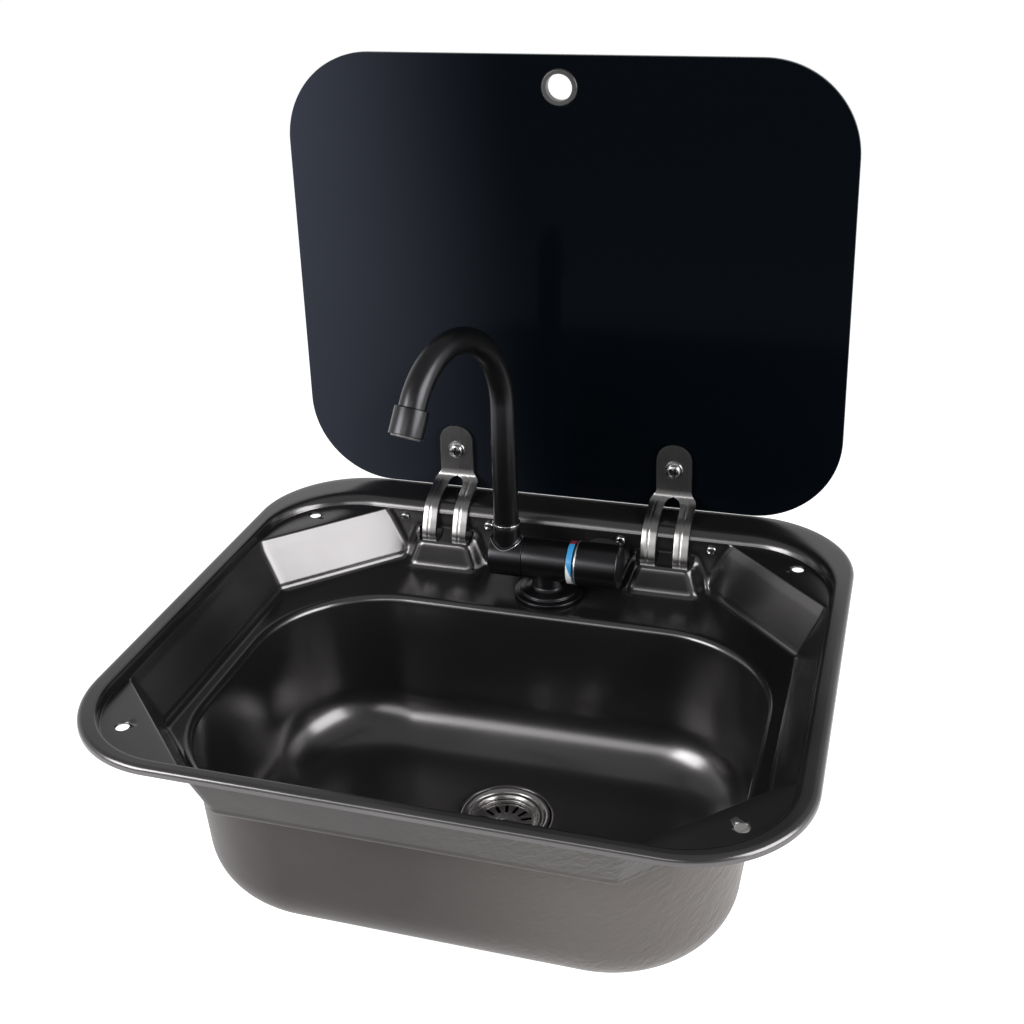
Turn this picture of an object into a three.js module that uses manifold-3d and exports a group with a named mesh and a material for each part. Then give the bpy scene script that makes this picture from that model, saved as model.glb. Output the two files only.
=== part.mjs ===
// Camper-van sink with a folding glass lid and a folding mixer tap.
// Millimetres, +Z up. The origin is the centre of the rim, in the plane of its lower edge,
// with the hinges and the tap at +Y and the user at -Y.
import * as THREE from 'three';
import { mergeVertices } from 'three/addons/utils/BufferGeometryUtils.js';
import Module from 'manifold-3d';

const wasm = await Module();
wasm.setup();

// ---- driving dimensions -------------------------------------------------------------
const gap = 0.3; // kept between pieces that touch
const sheet = 1.0; // steel of the pressing

const rim = {
  halfWidth: 210,
  halfDepth: 185,
  radius: 71.5,
  height: 4.5,
  edgeRadius: 3,
};

// the tray: one row for each level that the press tool forms, from the flange inwards
const tray = {
  flange: { half: 199, front: -177.5, rear: 159, radius: 62, z: 4.5 },
  padZ: -2.2,
  pad: { half: 197, front: -175.5, rear: 149.6, radius: 60 },
  ledge: { half: 196, front: -174.5, rear: 149.2, rearSum: 275.5, frontSum: 295.5 },
  bend: { half: 193.5, front: -172, rear: 149.1, rearSum: 271, frontSum: 291.5, z: -9 },
  foot: { half: 182, front: -162, rear: 147.8, rearSum: 257, frontSum: 276, z: -33.5 },
  deckZ: -39,
  rearFilletRadius: 10,
  sideFilletRun: 2,
  footRun: { half: 5.5, rear: 3 },
  facetFillet: 9,
};

const bowl = {
  half: 167.7,
  front: -140.3,
  rear: 87.5,
  radius: 77,
  mouthFillet: 5,
  draft: THREE.MathUtils.degToRad(3.7),
  floorZ: -142.4,
  floorFillet: 37,
};

const drain = {
  x: 2,
  y: 5,
  seatRadius: 31,
  seatZ: -143.4,
  cupRadius: 29.6,
  cupZ: -146,
  holeRadius: 21,
};

const cornerHoles = {
  radius: 4,
  places: [[173.3, 125.2], [-173.3, 125.2], [174.1, -145.2], [-174.1, -145.2]],
};

const lid = {
  width: 389,
  height: 317.3,
  radius: 62,
  thickness: 4,
  frontY: 181,
  bottomZ: 5.2,
  fingerHole: { x: 0.8, z: 301.6, radius: 12.4 },
  fingerBore: 8.9,
};

const hinge = {
  x: 80.5, // each side of the middle
  pivotY: 161,
  pivotZ: -13,
  strapWidth: 33,
  strapThickness: 1.8,
  legGap: 12.6,
  tabWidth: 25,
  tabTopZ: 55.2,
  tabScrewZ: 36.4,
  tabFrontY: 178,
  eyeRadius: 3.8,
  pinRadius: 2.2,
  earX: 25,
  earThickness: 1.6,
  bracketBackY: 176.6,
  bracketLowZ: -38,
  wallScrewX: 32,
  wallScrewZ: -8,
  lidScrewRadius: 2.5,
  wallScrewRadius: 2,
};

const hood = {
  topFrontY: 137,
  topFrontZ: -20,
  topRearZ: -16,
  topFrontHalf: 18.5,
  topRearHalf: 24.5,
  footFrontY: 131.5,
  footFrontHalf: 25,
  footRearHalf: 32.5,
  wallY: 149.6,
  corner: 3,
};

const tap = {
  x: 4,
  y: 119,
  axisZ: -13, // height of the barrel's axis
  flangeRadius: 24.2,
  neckRadius: 11.9,
  barrelRadius: 14.2,
  barrelLeft: -16.4, // this and the places along the barrel are from the tap's own middle
  barrelRight: 15.2,
  collarLeft: -40.8,
  spoutX: -29.7,
  shankRadius: 15,
  shankEndZ: -72,
  deckHoleRadius: 16.2,
  cartridgeRadius: 10,
  ringRadius: 15,
  knobRadius: 15.5,
  knobLeft: 22.3,
  knobRight: 50.8,
};

const spout = {
  tubeRadius: 8.7,
  tubeWall: 1.2,
  ringZ: 11.8,
  tubeStartZ: 13.6,
  riseZ: 100.7,
  firstRadius: 63.5,
  firstTurn: THREE.MathUtils.degToRad(78.5),
  secondRadius: 49.7,
  fullTurn: THREE.MathUtils.degToRad(150.1),
  tail: 2,
  heading: THREE.MathUtils.degToRad(256), // from +X towards +Y, so to the front and a little left
  socketRadius: 9.4,
  spigotRadius: 6.2,
  spigotBore: 4.2,
  spigotLength: 12,
  nozzleRadius: 10.9,
  nozzleLength: 17.5,
};

// ---- materials --------------------------------------------------------------------------
const finish = (color, roughness, metalness) =>
  new THREE.MeshStandardMaterial({ color, roughness, metalness });
const satinBlack = finish(0x1b1b1d, 0.38, 0.6);
const blackGlass = finish(0x05070b, 0.06, 0.0);
const blackTap = finish(0x161719, 0.42, 0.4);
const brushedSteel = finish(0x8f8b87, 0.35, 1.0);
const chrome = finish(0xd8d8dc, 0.1, 1.0);
const rubber = finish(0x141414, 0.8, 0.0);
const blackPlastic = finish(0x1c1c1e, 0.55, 0.0);
const brass = finish(0xb08d57, 0.35, 1.0);
const whiteRing = finish(0xe8eef2, 0.4, 0.0);

// ---- solids -----------------------------------------------------------------------------
// A closed three.js geometry as a solid that can be joined and cut.
function solidOf(geometry) {
  const bare = geometry.clone();
  bare.deleteAttribute('normal');
  bare.deleteAttribute('uv');
  const merged = mergeVertices(bare, 1e-4);
  const index = merged.index.array;
  const kept = [];
  for (let i = 0; i < index.length; i += 3) {
    const [a, b, c] = [index[i], index[i + 1], index[i + 2]];
    if (a !== b && b !== c && c !== a) kept.push(a, b, c);
  }
  return new wasm.Manifold(new wasm.Mesh({
    numProp: 3,
    vertProperties: new Float32Array(merged.attributes.position.array),
    triVerts: new Uint32Array(kept),
  }));
}

function meshOf(name, solid, material) {
  const data = solid.getMesh();
  const geometry = new THREE.BufferGeometry();
  geometry.setAttribute('position', new THREE.BufferAttribute(data.vertProperties, 3));
  geometry.setIndex(new THREE.BufferAttribute(data.triVerts, 1));
  geometry.computeVertexNormals();
  const mesh = new THREE.Mesh(geometry, material);
  mesh.name = name;
  return mesh;
}

// A turned piece about +Z, from [radius, z] points that start and end on the axis or close.
function turned(points, segments = 32) {
  const profile = points.map(([r, z]) => new THREE.Vector2(r, z));
  return solidOf(new THREE.LatheGeometry(profile, segments).rotateX(Math.PI / 2));
}

function disc(radius, low, high, segments = 32) {
  return turned([[0, low], [radius, low], [radius, high], [0, high]], segments);
}

function washer(inner, outer, low, high, segments = 32) {
  return turned([[inner, low], [outer, low], [outer, high], [inner, high], [inner, low]], segments);
}

// A turned piece laid down so that its own +Z points along +X or +Y.
const alongX = (solid) => solid.rotate([0, 90, 0]);
const alongY = (solid) => solid.rotate([-90, 0, 0]);

function block(x0, x1, y0, y1, z0, z1) {
  const box = new THREE.BoxGeometry(x1 - x0, y1 - y0, z1 - z0);
  return solidOf(box.translate((x0 + x1) / 2, (y0 + y1) / 2, (z0 + z1) / 2));
}

// A flat outline in XY raised along +Z.
function raised(shape, low, high, curveSegments = 8) {
  const geometry = new THREE.ExtrudeGeometry(shape, {
    depth: high - low,
    bevelEnabled: false,
    curveSegments,
  });
  return solidOf(geometry.translate(0, 0, low));
}

// An outline drawn in (Y, Z) and carried along X.
function carriedAlongX(shape, x0, x1) {
  const geometry = new THREE.ExtrudeGeometry(shape, {
    depth: x1 - x0,
    bevelEnabled: false,
    curveSegments: 3,
  });
  geometry.rotateX(Math.PI / 2).rotateZ(Math.PI / 2);
  return solidOf(geometry.translate(x0, 0, 0));
}

function roundedRectangle(x0, x1, y0, y1, radius) {
  const shape = new THREE.Shape();
  shape.absarc(x1 - radius, y0 + radius, radius, -Math.PI / 2, 0);
  shape.absarc(x1 - radius, y1 - radius, radius, 0, Math.PI / 2);
  shape.absarc(x0 + radius, y1 - radius, radius, Math.PI / 2, Math.PI);
  shape.absarc(x0 + radius, y0 + radius, radius, Math.PI, Math.PI * 1.5);
  shape.closePath();
  return shape;
}

function hexagon(acrossFlats) {
  const shape = new THREE.Shape();
  const corner = acrossFlats / Math.sqrt(3);
  for (let i = 0; i < 6; i += 1) {
    const turn = (i * Math.PI) / 3;
    if (i === 0) shape.moveTo(corner, 0);
    else shape.lineTo(corner * Math.cos(turn), corner * Math.sin(turn));
  }
  shape.closePath();
  return shape;
}

// Rings of equally many points skinned one to the next, closed by fans or into a torus.
function skinned(rings, closing) {
  const count = rings[0].length;
  const positions = rings.flat().flatMap((p) => [p.x, p.y, p.z]);
  const index = [];
  const bands = closing === 'torus' ? rings.length : rings.length - 1;
  for (let r = 0; r < bands; r += 1) {
    const next = ((r + 1) % rings.length) * count;
    for (let i = 0; i < count; i += 1) {
      const j = (i + 1) % count;
      index.push(r * count + i, r * count + j, next + j);
      index.push(r * count + i, next + j, next + i);
    }
  }
  if (closing === 'fans') {
    const last = (rings.length - 1) * count;
    for (let i = 1; i < count - 1; i += 1) {
      index.push(0, i + 1, i);
      index.push(last, last + i, last + i + 1);
    }
  }
  const geometry = new THREE.BufferGeometry();
  geometry.setAttribute('position', new THREE.Float32BufferAttribute(positions, 3));
  geometry.setIndex(index);
  return solidOf(geometry);
}

// ---- the pressing -------------------------------------------------------------------------
const cornerSteps = 8;
const corners = [[1, -1], [1, 1], [-1, 1], [-1, -1]]; // right front, right rear, left rear, left front

// A level outline with round corners, anticlockwise from the right front corner.
function roundRing({ half, front, rear, radius, z }) {
  const points = [];
  corners.forEach(([sx, sy], k) => {
    const cx = sx * (half - radius);
    const cy = sy > 0 ? rear - radius : front + radius;
    for (let i = 0; i <= cornerSteps; i += 1) {
      const turn = (Math.PI / 2) * (k - 1 + i / cornerSteps);
      points.push(new THREE.Vector3(cx + radius * Math.cos(turn), cy + radius * Math.sin(turn), z));
    }
  });
  return points;
}

// A level outline whose corners are cut by flat facets. A facet runs where |x| + |y| = sum,
// and small fillets join it to the sides.
function facetRing({ half, front, rear, rearSum, frontSum, z }) {
  const points = [];
  const bend = tray.facetFillet * Math.tan(Math.PI / 8);
  const third = cornerSteps / 2 - 1;
  corners.forEach(([sx, sy]) => {
    const depth = sy > 0 ? rear : -front;
    const sum = sy > 0 ? rearSum : frontSum;
    const onSide = new THREE.Vector2(half, sum - half);
    const onEnd = new THREE.Vector2(sum - depth, depth);
    const path = [];
    const filletAt = (corner, before, after) => {
      const from = corner.clone().add(before.clone().sub(corner).setLength(bend));
      const to = corner.clone().add(after.clone().sub(corner).setLength(bend));
      const curve = new THREE.QuadraticBezierCurve(from, corner, to);
      path.push(...curve.getPoints(third));
    };
    filletAt(onSide, new THREE.Vector2(half, 0), onEnd);
    path.push(path[third].clone().lerp(onEnd, 0.5));
    filletAt(onEnd, onSide, new THREE.Vector2(0, depth));
    if (sx * sy > 0) path.forEach((p) => points.push(new THREE.Vector3(sx * p.x, sy * p.y, z)));
    else path.reverse().forEach((p) => points.push(new THREE.Vector3(sx * p.x, sy * p.y, z)));
  });
  return points;
}

// A circle whose points pair with the corners of the outlines above.
function circleRing(radius, z) {
  const count = 4 * (cornerSteps + 1);
  return Array.from({ length: count }, (unused, i) => {
    const turn = -Math.PI / 2 + ((i + 0.5) / count) * Math.PI * 2;
    return new THREE.Vector3(
      drain.x + radius * Math.cos(turn),
      drain.y + radius * Math.sin(turn),
      z,
    );
  });
}

// The turned-down lip and the flange's outer edge.
function lipRings() {
  const { halfWidth, halfDepth, radius, height, edgeRadius } = rim;
  const at = (inset, z) => roundRing({
    half: halfWidth - inset,
    front: inset - halfDepth,
    rear: halfDepth - inset,
    radius: radius - inset,
    z,
  });
  const rings = [at(0, 0)];
  for (const degrees of [0, 30, 60, 90]) {
    const turn = THREE.MathUtils.degToRad(degrees);
    rings.push(at(edgeRadius * (1 - Math.cos(turn)), height - edgeRadius * (1 - Math.sin(turn))));
  }
  return rings;
}

// The step from the flange down to the level of the corner pads. It is a tight bend on the
// sides and the front, and a wide one at the rear, which the hinge straps pass over.
function stepRings() {
  const { flange, padZ, pad, rearFilletRadius, sideFilletRun } = tray;
  const steps = [0, 0.3, 0.6, 0.85, 1];
  return steps.map((part) => {
    const fall = 1 - Math.cos((part * Math.PI) / 2);
    const z = flange.z - (flange.z - padZ) * fall;
    const drop = rearFilletRadius - (flange.z - z);
    const run = sideFilletRun * Math.sin((part * Math.PI) / 2);
    return roundRing({
      half: flange.half - run,
      front: flange.front + run,
      rear: flange.rear - Math.sqrt(rearFilletRadius ** 2 - drop ** 2),
      radius: flange.radius + (pad.radius - flange.radius) * part,
      z,
    });
  });
}

// Tray walls with their bend line and corner facets, and the fillet at their foot.
function wallRings() {
  const { ledge, bend, foot, deckZ, padZ, footRun } = tray;
  const rings = [facetRing({ ...ledge, z: padZ }), facetRing(bend)];
  for (const degrees of [0, 40, 90]) {
    const turn = THREE.MathUtils.degToRad(degrees);
    const run = footRun.half * (1 - Math.cos(turn));
    rings.push(facetRing({
      half: foot.half - run,
      front: foot.front + run,
      rear: foot.rear - footRun.rear * (1 - Math.cos(turn)),
      rearSum: foot.rearSum - run * 1.2,
      frontSum: foot.frontSum - run * 1.2,
      z: foot.z + (deckZ - foot.z) * Math.sin(turn),
    }));
  }
  return rings;
}

// The bowl, from its mouth fillet down to the wide fillet round the floor.
function bowlRings() {
  const { half, front, rear, radius, mouthFillet, draft, floorZ, floorFillet } = bowl;
  const at = (inset, z) => roundRing({
    half: half - inset,
    front: front + inset,
    rear: rear - inset,
    radius: radius - inset * 0.7,
    z,
  });
  const rings = [];
  for (const degrees of [90, 60, 30, 0]) {
    const turn = THREE.MathUtils.degToRad(degrees);
    const inset = -mouthFillet * (1 - Math.cos(turn));
    rings.push(at(inset, tray.deckZ - mouthFillet * (1 - Math.sin(turn))));
  }
  const centreZ = floorZ + floorFillet;
  const lean = Math.tan(draft) * (tray.deckZ - mouthFillet - centreZ);
  const centreInset = floorFillet / Math.cos(draft) + lean;
  for (let i = 0; i <= 7; i += 1) {
    const turn = draft + (Math.PI / 2 - draft) * (i / 7);
    rings.push(at(centreInset - floorFillet * Math.cos(turn), centreZ - floorFillet * Math.sin(turn)));
  }
  return rings;
}

function drainRings() {
  return [
    circleRing(drain.seatRadius, drain.seatZ),
    circleRing(drain.cupRadius, drain.cupZ + 0.3),
    circleRing(drain.cupRadius - 1, drain.cupZ),
    circleRing(drain.holeRadius, drain.cupZ),
  ];
}

// The same rings one sheet thickness lower, along the normals of the skin.
function offsetRings(rings, distance) {
  const count = rings[0].length;
  return rings.map((ring, r) => ring.map((point, i) => {
    const along = ring[(i + 1) % count].clone().sub(ring[(i + count - 1) % count]);
    const before = rings[Math.max(r - 1, 0)][i];
    const after = rings[Math.min(r + 1, rings.length - 1)][i];
    const down = after.clone().sub(before);
    const normal = along.cross(down).normalize();
    return point.clone().addScaledVector(normal, distance);
  }));
}

// One hinge hood: the wall bulges forward into a tapered pocket that is open on top.
function hoodSolid(x, inset) {
  const shrink = inset > 0 ? 1 : 0;
  const section = (frontY, frontHalf, frontZ, rearHalf, rearZ, rearY) => {
    const cut = hood.corner;
    const lean = (rearHalf - frontHalf) / (rearY - frontY);
    const side = (sign, y, half, z) => new THREE.Vector3(x + sign * half, y, z);
    const alongZ = (y) => frontZ + ((y - frontY) / (rearY - frontY)) * (rearZ - frontZ);
    return [
      side(-1, frontY, frontHalf - cut * 0.8, frontZ),
      side(1, frontY, frontHalf - cut * 0.8, frontZ),
      side(1, frontY + cut, frontHalf + lean * cut, alongZ(frontY + cut)),
      side(1, rearY, rearHalf, rearZ),
      side(-1, rearY, rearHalf, rearZ),
      side(-1, frontY + cut, frontHalf + lean * cut, alongZ(frontY + cut)),
    ];
  };
  const footZ = tray.deckZ - sheet / 2 - shrink * 6;
  const rearY = hood.wallY + shrink * 5;
  const foot = section(
    hood.footFrontY + inset, hood.footFrontHalf - inset, footZ,
    hood.footRearHalf - inset, footZ, rearY,
  );
  const top = section(
    hood.topFrontY + inset, hood.topFrontHalf - inset, hood.topFrontZ + shrink * 0.8,
    hood.topRearHalf - inset, hood.topRearZ + shrink * 2, rearY,
  );
  return skinned([foot, top], 'fans');
}

function makeBasin() {
  const skin = [...lipRings(), ...stepRings(), ...wallRings(), ...bowlRings(), ...drainRings()];
  const under = offsetRings(skin, -sheet).reverse();
  let basin = skinned([...skin, ...under], 'torus');
  for (const side of [-1, 1]) {
    basin = basin.add(hoodSolid(side * hinge.x, 0));
  }
  for (const side of [-1, 1]) {
    basin = basin.subtract(hoodSolid(side * hinge.x, sheet));
  }
  for (const [x, y] of cornerHoles.places) {
    basin = basin.subtract(disc(cornerHoles.radius, -8, 3, 16).translate([x, y, 0]));
  }
  for (const [x, z] of wallScrewPlaces()) {
    const hole = alongY(disc(hinge.wallScrewRadius + gap, -4, 4, 12));
    basin = basin.subtract(hole.translate([x, tray.bend.rear, z]));
  }
  const tapHole = disc(tap.deckHoleRadius, tray.deckZ - 4, tray.deckZ + 4, 28);
  return basin.subtract(tapHole.translate([tap.x, tap.y, 0]));
}

function wallScrewPlaces() {
  return [-1, 1].flatMap((side) => [-1, 1].map((end) => [
    side * hinge.x + end * hinge.wallScrewX,
    hinge.wallScrewZ,
  ]));
}

// The foam strip between the flange and the worktop.
function makeRimSeal() {
  const inset = rim.edgeRadius + gap;
  const width = 2.8;
  const outline = roundedRectangle(
    inset - rim.halfWidth, rim.halfWidth - inset,
    inset - rim.halfDepth, rim.halfDepth - inset, rim.radius - inset,
  );
  const all = inset + width;
  outline.holes.push(roundedRectangle(
    all - rim.halfWidth, rim.halfWidth - all,
    all - rim.halfDepth, rim.halfDepth - all, rim.radius - all,
  ));
  return raised(outline, 0, rim.height - sheet - gap, 10);
}

// ---- hinges, in a frame whose origin is the pivot -------------------------------------------
const inHinge = (y, z) => new THREE.Vector2(y - hinge.pivotY, z - hinge.pivotZ);

// The strap's side view: from the eye, down under the wall's cut edge, up in front of the wall
// and back over the flange to the tab on the glass. The points lie on its front face.
function strapRoute() {
  const places = [
    [161, -18.6], [155.5, -23.6], [148, -25.4], [142.2, -22.4], [140.6, -16],
    [143.4, -8], [146.6, -1.5], [150.4, 3.9], [157.5, 8], [166, 10.6], [172.8, 12.8], [176.8, 16],
    [hinge.tabFrontY, 20.5], [hinge.tabFrontY, hinge.tabTopZ],
  ];
  const lower = new THREE.CatmullRomCurve3(
    places.slice(0, 12).map(([y, z]) => new THREE.Vector3(...inHinge(y, z), 0)),
  );
  const route = lower.getPoints(26).map((p) => new THREE.Vector2(p.x, p.y));
  return [...route, inHinge(...places[12]), inHinge(...places[13])];
}

function strapOutline() {
  const front = strapRoute();
  const back = front.map((point, i) => {
    const before = front[Math.max(i - 1, 0)];
    const after = front[Math.min(i + 1, front.length - 1)];
    const along = after.clone().sub(before).normalize();
    const across = new THREE.Vector2(along.y, -along.x);
    return point.clone().addScaledVector(across, hinge.strapThickness);
  });
  return new THREE.Shape([...front, ...back.reverse()]);
}

// Seen from the front: a round-topped tab, sloping shoulders and two legs.
function strapFace() {
  const tab = hinge.tabWidth / 2;
  const wide = hinge.strapWidth / 2;
  const [low, shoulder, neck, top] = [-30, 13, 19.5, hinge.tabTopZ].map((z) => z - hinge.pivotZ);
  const shape = new THREE.Shape();
  shape.moveTo(-wide, low);
  shape.lineTo(wide, low);
  shape.lineTo(wide, shoulder);
  shape.quadraticCurveTo(wide, shoulder + 2.5, tab + 1, neck - 1);
  shape.lineTo(tab, neck + 0.5);
  shape.lineTo(tab, top - tab);
  shape.absarc(0, top - tab, tab, 0, Math.PI);
  shape.lineTo(-tab, neck + 0.5);
  shape.lineTo(-tab - 1, neck - 1);
  shape.quadraticCurveTo(-wide, shoulder + 2.5, -wide, shoulder);
  shape.closePath();
  return shape;
}

// The slot that parts the legs, with its round head just under the shoulders.
function strapSlot() {
  const half = hinge.legGap / 2;
  const head = 15.8 - half - hinge.pivotZ;
  const shape = new THREE.Shape();
  shape.moveTo(-half, -40);
  shape.lineTo(half, -40);
  shape.lineTo(half, head);
  shape.absarc(0, head, half, 0, Math.PI);
  shape.closePath();
  return shape;
}

// A flat outline drawn in (X, Z) and carried along Y.
function carriedAlongY(shape, y0, y1, curveSegments = 8) {
  return raised(shape, -y1, -y0, curveSegments).rotate([90, 0, 0]);
}

function makeStrap() {
  const { strapWidth, eyeRadius, pinRadius, lidScrewRadius } = hinge;
  const half = strapWidth / 2;
  const strip = carriedAlongX(strapOutline(), -half, half);
  const eye = alongX(disc(eyeRadius, -half, half, 20));
  const arm = carriedAlongX(new THREE.Shape([
    new THREE.Vector2(-2.6, 0), new THREE.Vector2(2.4, 0),
    new THREE.Vector2(1.2, -6.6), new THREE.Vector2(-1.4, -7.2),
  ]), -half, half);
  const screwHole = alongY(disc(lidScrewRadius + gap, 0, 40, 16));
  return strip
    .add(eye)
    .add(arm)
    .intersect(carriedAlongY(strapFace(), -40, 40))
    .subtract(carriedAlongY(strapSlot(), -40, 40))
    .subtract(alongX(disc(pinRadius + 0.08, -half - 1, half + 1, 20)))
    .subtract(screwHole.translate([0, 0, hinge.tabScrewZ - hinge.pivotZ]));
}

// The bracket behind the wall: a plate held by the wall screws, two ears that hold the pin
// and a back that shuts the pocket off from the room under the worktop.
function makeBracket() {
  const { pinRadius, wallScrewX, wallScrewRadius, earX, earThickness } = hinge;
  const front = tray.pad.rear + sheet + gap - hinge.pivotY;
  const back = hinge.bracketBackY - hinge.pivotY;
  const low = hinge.bracketLowZ - hinge.pivotZ;
  const plateShape = roundedRectangle(-wallScrewX - 6, wallScrewX + 6, -3.5, 9.5, 3);
  const opening = block(-earX, earX, front - 1, 0, -6, 12);
  const topBar = block(-earX, earX, front, front + 1.6, 6.5, 9.5);
  let bracket = carriedAlongY(plateShape, front, front + 1.6, 3).subtract(opening).add(topBar);
  const earShape = new THREE.Shape([
    [front + 0.5, -4], [front + 6, low], [back, low], [back, 4], [back - 2, 6], [front + 0.5, 6],
  ].map(([y, z]) => new THREE.Vector2(y, z)));
  for (const x of [earX, -earX - earThickness]) {
    bracket = bracket.add(carriedAlongX(earShape, x, x + earThickness));
  }
  bracket = bracket.add(block(-earX - 1, earX + 1, back - 1.6, back, low, 4));
  for (const x of [-wallScrewX, wallScrewX]) {
    const hole = alongY(disc(wallScrewRadius + gap, front - 2, front + 4, 12));
    bracket = bracket.subtract(hole.translate([x, 0, hinge.wallScrewZ - hinge.pivotZ]));
  }
  return bracket.subtract(alongX(disc(pinRadius + gap, -30, 30, 20)));
}

function makePin() {
  const { pinRadius, earX, earThickness } = hinge;
  const half = earX + earThickness + 2;
  return alongX(turned([
    [0, -half], [pinRadius - 0.4, -half], [pinRadius, 0.4 - half], [pinRadius, half - 1.2],
    [3.4, half - 1.2], [3.4, half - 0.4], [2.8, half], [0, half],
  ], 20));
}

// A cross-recessed pan-head screw whose shank points along +Y and whose head is at y < 0.
// A flange wider than the head stands in for its washer.
function panScrew({ head, height, shank, length, flange = head, flangeHeight = 0.2 }) {
  const half = head * 0.55;
  const recess = block(-half, half, -9, 0, -0.5, 0.5)
    .add(block(-0.5, 0.5, -9, 0, -half, half))
    .translate([0, -height * 0.55, 0]);
  const body = turned([
    [0, -height], [head * 0.55, -height * 0.96], [head * 0.88, -height * 0.75],
    [head, -height * 0.42], [head, -flangeHeight], [flange, -flangeHeight * 0.7], [flange, 0],
    [shank, 0], [shank, length - 0.6], [shank - 0.6, length], [0, length],
  ], 14);
  return alongY(body).subtract(recess);
}

function makeStrapPad() {
  const tab = hinge.tabWidth / 2 - 1;
  const low = 24 - hinge.pivotZ;
  const top = hinge.tabTopZ - hinge.pivotZ - 1;
  const shape = new THREE.Shape();
  shape.moveTo(-tab, low);
  shape.lineTo(tab, low);
  shape.lineTo(tab, top - tab);
  shape.absarc(0, top - tab, tab, 0, Math.PI);
  shape.closePath();
  const padFront = hinge.tabFrontY + hinge.strapThickness + gap - hinge.pivotY;
  const padBack = lid.frontY - gap - hinge.pivotY;
  return carriedAlongY(shape, padFront, padBack)
    .subtract(alongY(disc(hinge.lidScrewRadius + gap, 0, 40, 16))
      .translate([0, 0, hinge.tabScrewZ - hinge.pivotZ]));
}

// A rubber washer and a domed nut behind the glass.
function makeGlassWasher() {
  const start = lid.frontY + lid.thickness + gap - hinge.pivotY;
  return alongY(washer(hinge.lidScrewRadius + gap, 7.5, start, start + 1, 24));
}

function makeCapNut() {
  const start = lid.frontY + lid.thickness + 2 * gap + 1 - hinge.pivotY;
  const dome = turned([
    [0, start + 2.6], [3.9, start + 2.6], [3.6, start + 4.6], [2.4, start + 5.9], [0, start + 6.4],
  ], 18);
  const nut = raised(hexagon(8.6), start, start + 3).add(dome);
  return alongY(nut.subtract(disc(hinge.lidScrewRadius + gap, start - 1, start + 4.6, 16)));
}

function hingeGroup(side, label) {
  const group = new THREE.Group();
  group.position.set(side * hinge.x, hinge.pivotY, hinge.pivotZ);
  const shankLength = lid.frontY + lid.thickness + 5.2 - hinge.tabFrontY;
  const screw = panScrew({
    head: 4.7, height: 4, shank: hinge.lidScrewRadius, length: shankLength, flange: 6.4, flangeHeight: 1.2,
  })
    .translate([0, hinge.tabFrontY - gap - hinge.pivotY, hinge.tabScrewZ - hinge.pivotZ]);
  const atScrew = [0, 0, hinge.tabScrewZ - hinge.pivotZ];
  group.add(
    meshOf(`hinge_strap_${label}`, makeStrap(), brushedSteel),
    meshOf(`hinge_bracket_${label}`, makeBracket(), brushedSteel),
    meshOf(`hinge_pin_${label}`, makePin(), brushedSteel),
    meshOf(`strap_pad_${label}`, makeStrapPad(), rubber),
    meshOf(`lid_screw_${label}`, screw, chrome),
    meshOf(`glass_washer_${label}`, makeGlassWasher().translate(atScrew), rubber),
    meshOf(`cap_nut_${label}`, makeCapNut().translate(atScrew), chrome),
  );
  for (const [end, place] of [[side, 'outer'], [-side, 'inner']]) {
    const wallScrew = panScrew({ head: 3.4, height: 2.2, shank: hinge.wallScrewRadius, length: 5.6 });
    const mesh = meshOf(`wall_screw_${label}_${place}`, wallScrew, chrome);
    const front = tray.bend.rear - gap - hinge.pivotY;
    mesh.position.set(end * hinge.wallScrewX, front, hinge.wallScrewZ - hinge.pivotZ);
    group.add(mesh);
  }
  return group;
}

// ---- glass lid ------------------------------------------------------------------------------
function makeGlass() {
  const { width, height, radius, thickness, frontY, bottomZ, fingerHole } = lid;
  const outline = roundedRectangle(-width / 2, width / 2, bottomZ, bottomZ + height, radius);
  const hole = new THREE.Path();
  hole.absarc(fingerHole.x, fingerHole.z, fingerHole.radius - 1.2, 0, Math.PI * 2, true);
  outline.holes.push(hole);
  let glass = carriedAlongY(outline, frontY, frontY + thickness, 14);
  for (const side of [-1, 1]) {
    const screwHole = alongY(disc(hinge.lidScrewRadius + gap, frontY - 2, frontY + 8, 16));
    glass = glass.subtract(screwHole.translate([side * hinge.x, 0, hinge.tabScrewZ]));
  }
  return glass;
}

// The finger ring: two halves meet in the hole and their lips clasp the glass.
function makeFingerRing() {
  const { radius } = lid.fingerHole;
  const front = lid.frontY;
  const back = lid.frontY + lid.thickness;
  const lip = 1.4;
  const sleeve = radius - 1.2 - gap;
  return alongY(turned([
    [lid.fingerBore, front - lip], [radius - 1, front - lip], [radius, front - lip + 0.6],
    [radius, front - gap], [sleeve, front - gap], [sleeve, back + gap], [radius, back + gap],
    [radius, back + lip - 0.6], [radius - 1, back + lip], [lid.fingerBore, back + lip],
    [lid.fingerBore, front - lip],
  ], 36)).translate([lid.fingerHole.x, 0, lid.fingerHole.z]);
}

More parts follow.
